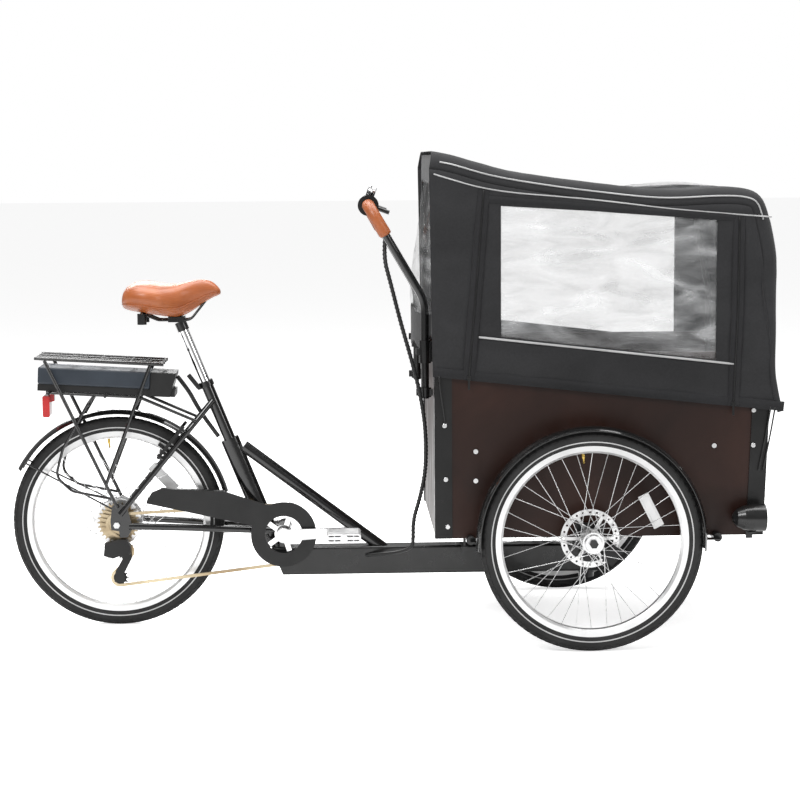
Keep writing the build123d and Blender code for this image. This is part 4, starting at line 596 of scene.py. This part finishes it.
# The skyline as distance ahead of the canopy's rear edge, and height.
SKYLINE = [
    (0.0, 1.342),
    (0.060, 1.331),
    (0.166, 1.301),
    (0.300, 1.277),
    (0.454, 1.256),
    (0.616, 1.240),
    (0.774, 1.244),
    (0.847, 1.239),
    (0.886, 1.220),
    (0.908, 1.177),
    (0.931, 1.078),
    (0.936, 1.020),
    (0.934, 0.931),
    (0.930, 0.770),
    (0.938, 0.700),
    (0.952, 0.638),
]
HEM_BACK, HEM_FRONT = 0.740, 0.637  # the hem's height at its ends
HEM_REACH = 0.95  # the hem's length
ROUND_STEPS, ROOF_STEPS, SIDE_STEPS = 7, 26, 30
sky = resampled(spline([Vector((BACK + along, 0, height)) for along, height in SKYLINE], 10), 120)
sky_runs = [(sky[min(i + 1, len(sky) - 1)] - sky[max(i - 1, 0)]).normalized() for i in range(len(sky))]
sky_out = [Vector((-run.z, 0, run.x)) for run in sky_runs]


def smooth(low, high, value):
    t = min(1.0, max(0.0, (value - low) / (high - low)))
    return t * t * (3 - 2 * t)


def wrinkle(point, size, seed=0.0):
    """A small soft wave of cloth at a point, between -size and size."""
    warp = noise.noise(Vector((point.x * 3, point.y * 3, point.z * 4 + seed)))
    at = Vector((point.x * 7 + warp * 2, point.y * 6, point.z * 5 - warp * 2 + seed))
    return size * (noise.noise(at) + 0.5 * noise.noise(at * 2.3))


def corner_round(height):
    """Radius of the edge between roof and side: tighter low at the front, where it meets the box."""
    return 0.018 + 0.03 * smooth(0.8, 1.0, height)


def roof_section(i):
    """Points from the left side's top over the roof to the right side's top, at one station."""
    r = corner_round(sky[i].z)
    centre = sky[i] - sky_out[i] * r
    section = []
    for step in range(ROUND_STEPS):
        angle = 0.5 * math.pi * (1 - step / ROUND_STEPS)
        out = Vector((0, HALF - r + r * math.sin(angle), 0))
        section.append(centre + out + sky_out[i] * r * math.cos(angle))
    for step in range(ROOF_STEPS + 1):
        y = (HALF - r) * (1 - 2 * step / ROOF_STEPS)
        section.append(Vector((sky[i].x, y, sky[i].z)))
    for step in range(1, ROUND_STEPS + 1):
        angle = 0.5 * math.pi * step / ROUND_STEPS
        out = Vector((0, HALF - r + r * math.sin(angle), 0))
        section.append(centre - out + sky_out[i] * r * math.cos(angle))
    return section


def loose(i, point):
    """How far a roof point may wave: least at the rear hoop, the sides' edges and the front."""
    free = min(1.0, abs(sky[i].x - BACK - 0.01) / 0.1)
    return free * smooth(0.0, 0.06, HALF - abs(point.y) + 0.01) if sky[i].z > 1.15 else 0.35


roof_vertices, roof_faces = [], []
for i in range(len(sky)):
    for point in roof_section(i):
        wave = wrinkle(point, 0.0035, 3.0) - 0.0035
        roof_vertices.append(point + sky_out[i] * wave * loose(i, point))
width = len(roof_section(0))
ROOF_FILM_X = (0.700, 0.893)
ROOF_FILM_HALF = 0.19
FILM_LAP = 0.006  # how far a film runs behind the cloth round it
for i in range(len(sky) - 1):
    for k in range(width - 1):
        a = i * width + k
        corners = (a, a + 1, a + width + 1, a + width)
        middle = sum((roof_vertices[c] for c in corners), Vector()) / 4
        if ROOF_FILM_X[0] < middle.x < ROOF_FILM_X[1] and abs(middle.y) < ROOF_FILM_HALF and middle.z > 1.15:
            continue
        roof_faces.append(corners)
canopy_roof = piece("canopy_roof", roof_vertices, roof_faces, "front", CLOTH)
modify(canopy_roof, "SOLIDIFY", thickness=SKIN, offset=-1.0)


def side_top(i):
    return sky[i] - sky_out[i] * corner_round(sky[i].z)


SHOULDER = next(i for i, point in enumerate(sky) if point.x - BACK > 0.88)
hem_xs = []
for i in range(len(sky)):
    if i <= SHOULDER:
        hem_xs.append(side_top(i).x - BACK)
    else:
        reach = side_top(SHOULDER).x - BACK
        hem_xs.append(reach + (HEM_REACH - reach) * (i - SHOULDER) / (len(sky) - 1 - SHOULDER))
side_base = side_top(0).x - BACK
hem_xs = [(x - side_base) * HEM_REACH / (HEM_REACH - side_base) for x in hem_xs]


def side_point(i, v, flank):
    top = side_top(i)
    x = hem_xs[i]
    bottom = Vector((BACK + x, 0, HEM_BACK + (HEM_FRONT - HEM_BACK) * x / HEM_REACH))
    point = top.lerp(bottom, v)
    point.y = flank * HALF
    free = min(1.0, v * 6) * min(1.0, (1 - v) * 5 + 0.4)
    point.y -= flank * (0.003 - wrinkle(point, 0.004, flank * 9.0)) * free
    return point


# The side window's ends, and the height and slope of its lower and upper edges.
PANE_BACK, PANE_FRONT = 0.297, 0.877
PANE_LOW, LOW_SLOPE = 0.846, 0.118
PANE_HIGH, HIGH_SLOPE = 1.195, 0.062
PANE_LAP = 0.004


def in_side_film(x, z):
    """Whether a place lies in the side window: a slightly sloping quadrilateral."""
    along = x - PANE_BACK
    return PANE_BACK < x < PANE_FRONT and PANE_LOW - along * LOW_SLOPE < z < PANE_HIGH - along * HIGH_SLOPE


for flank in (-1, 1):
    name = "left" if flank > 0 else "right"
    vertices = [side_point(i, v / SIDE_STEPS, flank) for i in range(len(sky)) for v in range(SIDE_STEPS + 1)]
    faces = []
    rows = SIDE_STEPS + 1
    side = piece("canopy_side_" + name, vertices, [
        (i * rows + v, i * rows + v + 1, (i + 1) * rows + v + 1, (i + 1) * rows + v)
        for i in range(len(sky) - 1)
        for v in range(SIDE_STEPS)
    ], None, CLOTH)
    # The window is cut along its four edges, so that it has straight sides.
    cutter = bmesh.new()
    cutter.from_mesh(side.data)
    for place, normal in (
        ((PANE_BACK, 0, 0), (1, 0, 0)),
        ((PANE_FRONT, 0, 0), (1, 0, 0)),
        ((PANE_BACK, 0, PANE_LOW), (LOW_SLOPE, 0, 1)),
        ((PANE_BACK, 0, PANE_HIGH), (HIGH_SLOPE, 0, 1)),
    ):
        everything = cutter.verts[:] + cutter.edges[:] + cutter.faces[:]
        bmesh.ops.bisect_plane(cutter, geom=everything, plane_co=place, plane_no=normal)
    opening = [f for f in cutter.faces if in_side_film(f.calc_center_median().x, f.calc_center_median().z)]
    bmesh.ops.delete(cutter, geom=opening, context="FACES")
    cutter.to_mesh(side.data)
    cutter.free()
    for polygon in side.data.polygons:
        polygon.use_smooth = True
    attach(side, "front")
    modify(side, "SOLIDIFY", thickness=SKIN, offset=1.0)


def crinkled_sheet(name, corner, columns, rows, out, size, seed, bulge=0.0):
    """A clear film between four corners, pushed out in the middle and creased."""
    vertices, faces = [], []
    for i in range(columns + 1):
        for j in range(rows + 1):
            u, v = i / columns, j / rows
            point = corner(u, v)
            edge = min(1.0, u * 12, (1 - u) * 12, v * 10, (1 - v) * 10)
            warp = noise.noise(point * 5 + Vector((seed, 0, 0)))
            slanted = Vector((point.x * 4 + warp, point.y * 7, point.z * 16 + point.x * 7 + seed))
            crease = 1 - abs(noise.noise(slanted)) * 2
            crumple = 1 - abs(noise.noise(point * 23 + Vector((seed, warp * 3, 0)))) * 2
            near_end = smooth(0.6, 1.0, max(abs(2 * u - 1), abs(2 * v - 1)))
            lift = size * (0.7 * crease + (0.2 + 0.9 * near_end) * crumple) * edge
            lift += bulge * math.sin(math.pi * u) ** 0.7 * math.sin(math.pi * v) ** 0.7
            vertices.append(point + out * lift)
    for i in range(columns):
        for j in range(rows):
            a = i * (rows + 1) + j
            faces.append((a, a + 1, a + rows + 2, a + rows + 1))
    film = piece(name, vertices, faces, "front", FILM)
    return film


for flank in (-1, 1):

    def side_film(u, v, flank=flank):
        x = PANE_BACK - PANE_LAP + (PANE_FRONT - PANE_BACK + 2 * PANE_LAP) * u
        high = PANE_HIGH + PANE_LAP - (x - PANE_BACK) * HIGH_SLOPE
        low = PANE_LOW - PANE_LAP - (x - PANE_BACK) * LOW_SLOPE
        return Vector((x, flank * (HALF - 0.006), high + (low - high) * v))

    crinkled_sheet(
            "side_film_" + ("left" if flank > 0 else "right"), side_film, 150, 90,
            Vector((0, flank, 0)), 0.004, 4.0 + flank,
        )


def roof_film(u, v):
    x = ROOF_FILM_X[0] - 0.008 + (ROOF_FILM_X[1] - ROOF_FILM_X[0] + 0.012) * u
    a, b = next((a, b) for a, b in zip(sky, sky[1:]) if b.x >= x)
    height = a.z + (b.z - a.z) * (x - a.x) / max(b.x - a.x, 1e-6)
    return Vector((x, (ROOF_FILM_HALF + FILM_LAP) * (1 - 2 * v), height - 0.004))


crinkled_sheet("roof_film", roof_film, 40, 60, Z, 0.0025, 11.0, 0.014)
REAR_FILM_HALF, REAR_FILM_Z = 0.292, (0.900, 1.262)


def rear_film(u, v):
    y = REAR_FILM_HALF * (1 - 2 * u)
    return Vector((BACK + 0.002, y, REAR_FILM_Z[1] + (REAR_FILM_Z[0] - REAR_FILM_Z[1]) * v))


def rear_bulge(y, z):
    """How far the rear curtain hangs out behind the hoop: most low down, between the bar's legs."""
    hang = 1 - smooth(0.93, 1.31, z)
    free = 0.225 + 0.07 * smooth(0.96, 1.06, z)
    return 0.046 * hang * max(0.0, math.cos(0.5 * math.pi * min(1.0, abs(y) / free))) ** 0.7


film = crinkled_sheet("rear_film", rear_film, 60, 60, Vector((-1, 0, 0)), 0.0022, 21.0)
for vertex in film.data.vertices:
    vertex.co.x -= rear_bulge(vertex.co.y, vertex.co.z)

# The rear curtain, from under the rear hoop to the box's top edge.
CURTAIN_LOW = 0.806
curtain_vertices, curtain_faces = [], []
CURTAIN_COLUMNS, CURTAIN_ROWS = 64, 54
for i in range(CURTAIN_COLUMNS + 1):
    for j in range(CURTAIN_ROWS + 1):
        y = (HALF - 0.010) * (1 - 2 * i / CURTAIN_COLUMNS)
        low = CURTAIN_LOW + 0.034 * smooth(0.20, 0.225, abs(y)) + 0.006 * math.sin(y * 60)
        z = 1.296 + 0.036 * (1 - smooth(0.27, 0.33, abs(y))) + (low - 1.33) * j / CURTAIN_ROWS
        z = max(z, low)
        point = Vector((BACK + 0.003, y, z))
        point.x -= rear_bulge(y, z) + wrinkle(point, 0.002, 31.0) * (j / CURTAIN_ROWS)
        curtain_vertices.append(point)
for i in range(CURTAIN_COLUMNS):
    for j in range(CURTAIN_ROWS):
        a = i * (CURTAIN_ROWS + 1) + j
        corners = (a, a + CURTAIN_ROWS + 1, a + CURTAIN_ROWS + 2, a + 1)
        middle = sum((curtain_vertices[c] for c in corners), Vector()) / 4
        low, high = REAR_FILM_Z[0] + FILM_LAP, REAR_FILM_Z[1] - FILM_LAP
        if abs(middle.y) < REAR_FILM_HALF - FILM_LAP and low < middle.z < high:
            continue
        curtain_faces.append(corners)
curtain = piece("canopy_curtain", curtain_vertices, curtain_faces, "front", CLOTH)
modify(curtain, "SOLIDIFY", thickness=SKIN, offset=0.0)
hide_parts("canopy")
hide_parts("canopy_windows")


# Piping: two seams along each side's top and one under the window.
def surface_y(flank, extra=0.001):
    return flank * (HALF + extra)


piping = []
for flank in (-1, 1):
    high = [roof_section(i)[2 if flank > 0 else -3] + sky_out[i] * 0.0012 for i in range(2, SHOULDER + 6)]
    piping.append(tube_mesh(high, 0.0021, 8))
    seam = [(0.118, 1.281), (0.157, 1.269), (0.238, 1.246), (0.327, 1.231), (0.454, 1.219), (0.571, 1.207),
            (0.751, 1.185), (0.913, 1.170), (1.022, 1.161)]
    seam_line = spline([Vector((x, surface_y(flank, 0.0004), z)) for x, z in seam], 6)
    piping.append(tube_mesh(seam_line, 0.0021, 8))
    sill_y = surface_y(flank, 0.001)
    sill = [Vector((0.237 + 0.688 * t / 30, sill_y, 0.846 - 0.079 * t / 30)) for t in range(31)]
    piping.append(tube_mesh(sill, 0.003, 8))
piping_piece = piece("canopy_piping", *joined(piping), "front", PIPING)


def band(points, half_width, flank, thick=0.0024):
    """A flat strip of doubled cloth lying on a side panel along a line of (x, z) points."""
    line = resampled([Vector((x, surface_y(flank, 0.0), z)) for x, z in points], 40)
    vertices, faces = [], []
    for i, point in enumerate(line):
        run = (line[min(i + 1, 39)] - line[max(i - 1, 0)]).normalized()
        across = run.cross(Y_AXIS)
        wave = wrinkle(point, 0.0012, 5.0)
        for share, lift in ((-1, -0.002), (-0.94, thick), (0.94, thick), (1, -0.002)):
            vertices.append(point + across * half_width * share + Vector((0, flank * (lift + wave), 0)))
    for i in range(39):
        for k in range(3):
            a = i * 4 + k
            faces.append((a, a + 1, a + 5, a + 4))
    return vertices, faces


bands, teeth, pulls = [], [], []
for flank in (-1, 1):
    zips = (((0.251, 1.238), (0.235, 1.03), (0.210, 0.732)), ((0.936, 1.164), (0.934, 0.90), (0.925, 0.655)))
    for zip_line in zips:
        bands.append(band(zip_line, 0.016, flank))
        line = resampled([Vector((x, surface_y(flank, 0.0042), z)) for x, z in zip_line], 40)
        teeth.append(tube_mesh([p + Vector((0, flank * wrinkle(p, 0.001, 5.0), 0)) for p in line], 0.0018, 6))
        foot = line[-1] + Vector((0, flank * 0.002, 0.004))
        pulls.append(block(foot, X, Z, Y_AXIS, (0.009, 0.012, 0.005)))
        pulls.append(block(foot - Z * 0.018, X, Z, Y_AXIS, (0.006, 0.026, 0.002)))
    bands.append(band(((0.262, 1.214), (0.60, 1.185), (0.925, 1.160)), 0.010, flank))
    hem = [(BACK + 0.004 + 0.946 * t / 20, HEM_BACK + 0.013 - 0.103 * t / 20) for t in range(21)]
    bands.append(band(hem, 0.013, flank, 0.0018))
band_piece = piece("canopy_bands", *joined(bands), "front", CLOTH_BAND)
teeth_piece = piece("canopy_zips", *joined(teeth), "front", PLASTIC)
bricks("zip_pulls", pulls, "front", DARK_METAL, 0.001)

# Elastic loops hold the hem down to hooks on the box.
STRAP_R = 0.0022
straps = []
for flank in (-1, 1):
    y = flank * (HALF + 0.001)
    hook_y = flank * (HALF - 0.004)
    rear = [(0.130, y, 0.742), (0.134, y, 0.70), (0.143, hook_y, 0.64), (0.146, hook_y, 0.612)]
    straps.append(tube_mesh(spline(rear, 6), STRAP_R, 8))
    for x in (1.004, 1.016):
        front = [(x + 0.024, y, 0.650), (x + 0.012, hook_y, 0.57), (x - 0.006, hook_y, 0.475)]
        straps.append(tube_mesh(spline(front, 8), STRAP_R, 8))
strap_piece = piece("elastic_loops", *joined(straps), "front", WIRING)

# ------------------------------------------------------------------ cables
HARNESS_R = 0.006
BARE_R = HARNESS_R - 0.0008  # the harness inside its spiral wrap
TURNS_PER_METRE = 85
FRONT_ROUTE = [
    (-0.004, -0.155, 1.128),
    (-0.014, -0.188, 1.062),
    (0.006, -0.216, 0.985),
    (0.030, -0.238, 0.885),
    (0.061, -0.264, 0.775),
    (0.085, -0.276, 0.675),
    (0.098, -0.262, 0.570),
    (0.098, -0.224, 0.470),
    (0.084, -0.176, 0.385),
    (0.066, -0.146, 0.318),
    (0.066, -0.146, 0.268),
    (0.064, -0.144, 0.238),
    (0.024, -0.092, 0.214),
    (-0.028, -0.050, 0.202),
    (-0.064, -0.0305, 0.196),
]
POWER_ROUTE = [
    (-0.595, 0.0, 0.714),
    (-0.564, 0.0, 0.674),
    (-0.544, 0.0, 0.634),
    (-0.516, 0.0, 0.588),
    (-0.481, 0.0, 0.540),
]


def nurbs_line(points):
    """Points along the smooth line of a route, from its own NURBS spline."""
    curve = bpy.data.curves.new("route", "CURVE")
    curve.dimensions = "3D"
    curve.resolution_u = 16
    run = curve.splines.new("NURBS")
    run.points.add(len(points) - 1)
    for control, point in zip(run.points, points):
        control.co = (*point, 1)
    run.order_u = 3
    run.use_endpoint_u = True
    holder = bpy.data.objects.new("route", curve)
    mesh = bpy.data.meshes.new_from_object(holder)
    line = [v.co.copy() for v in mesh.vertices]
    bpy.data.objects.remove(holder)
    return line


def coiled(line, radius, turns_per_metre, wire, sides=6):
    """A wire wound round a line."""
    even = resampled(line, int(length_of(line) * turns_per_metre * 10))
    helix = []
    for i, (point, (u, v)) in enumerate(zip(even, frames_along(even))):
        angle = 2 * math.pi * i / 10
        helix.append(point + u * radius * math.cos(angle) + v * radius * math.sin(angle))
    return tube_mesh(helix, wire, sides)


harness_line = nurbs_line(FRONT_ROUTE)
even_line = resampled(harness_line, 160)
harness = piece("wiring_harness", *tube_mesh(even_line, BARE_R, 14), None, WIRING)
wrapped = harness_line[: len(harness_line) * 3 // 4]
wrap = piece("spiral_wrap", *coiled(wrapped, BARE_R, TURNS_PER_METRE, 0.0016), None, PLASTIC)
for part in (harness, wrap):
    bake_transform(part)
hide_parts("harness_front")
power_line = resampled(nurbs_line(POWER_ROUTE), 40)
power = piece("battery_cable", *tube_mesh(power_line, HARNESS_R, 14), "frame", WIRING)
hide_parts("frame_cables")

# ------------------------------------------------------------------ floor and light
FLOOR_SIDE = 60.0
floor_material = finish_of("studio_floor", 0.93, 0.96, (0.8, 0.9), grain=(40.0, 0.02, 0.0005))
# The floor glows for the camera alone, so that it shows as pale as the backdrop but lights no piece.
floor_tree = floor_material.node_tree
floor_shader = floor_tree.nodes["Principled BSDF"]
floor_shader.inputs["Emission Color"].default_value = (1.0, 1.0, 1.0, 1)
seen = floor_tree.nodes.new("ShaderNodeLightPath")
glow = floor_tree.nodes.new("ShaderNodeMath")
glow.operation = "MULTIPLY"
glow.inputs[1].default_value = 0.62
floor_tree.links.new(seen.outputs["Is Camera Ray"], glow.inputs[0])
floor_tree.links.new(glow.outputs["Value"], floor_shader.inputs["Emission Strength"])
floor = piece(
    "floor",
    [(x * FLOOR_SIDE, y * FLOOR_SIDE, 0) for x, y in ((-1, -1), (1, -1), (1, 1), (-1, 1))],
    [(0, 1, 2, 3)],
    None,
    floor_material,
    smooth=False,
)
world = bpy.data.worlds.new("studio")
scene.world = world
world.use_nodes = True
sky_tree = world.node_tree
backdrop = sky_tree.nodes["Background"]
backdrop.inputs["Color"].default_value = (1.0, 1.0, 1.0, 1)
backdrop.inputs["Strength"].default_value = 1.0
room = sky_tree.nodes.new("ShaderNodeBackground")
room.inputs["Strength"].default_value = 0.42
ray = sky_tree.nodes.new("ShaderNodeLightPath")
choice = sky_tree.nodes.new("ShaderNodeMixShader")
sky_tree.links.new(ray.outputs["Is Camera Ray"], choice.inputs["Fac"])
sky_tree.links.new(room.outputs["Background"], choice.inputs[1])
sky_tree.links.new(backdrop.outputs["Background"], choice.inputs[2])
sky_tree.links.new(choice.outputs["Shader"], sky_tree.nodes["World Output"].inputs["Surface"])


def softbox(name, place, aim, size, power):
    light = bpy.data.lights.new(name, "AREA")
    light.shape = "RECTANGLE"
    light.size, light.size_y = size
    light.energy = power
    obj = bpy.data.objects.new(name, light)
    obj.location = place
    obj.rotation_mode = "QUATERNION"
    obj.rotation_quaternion = (Vector(aim) - Vector(place)).to_track_quat("-Z", "Y")
    scene.collection.objects.link(obj)


softbox("key", (-2.2, -3.4, 4.0), (0, 0, 0.5), (2.2, 1.6), 150)
softbox("fill", (3.6, -3.0, 2.6), (0.2, 0, 0.6), (1.2, 2.0), 60)
softbox("top", (0.0, 0.4, 4.4), (0, 0, 0.5), (5.0, 3.2), 330)
softbox("back", (-1.5, 4.0, 2.8), (0, 0, 0.7), (2.4, 1.6), 90)
scene.view_settings.view_transform = "Standard"
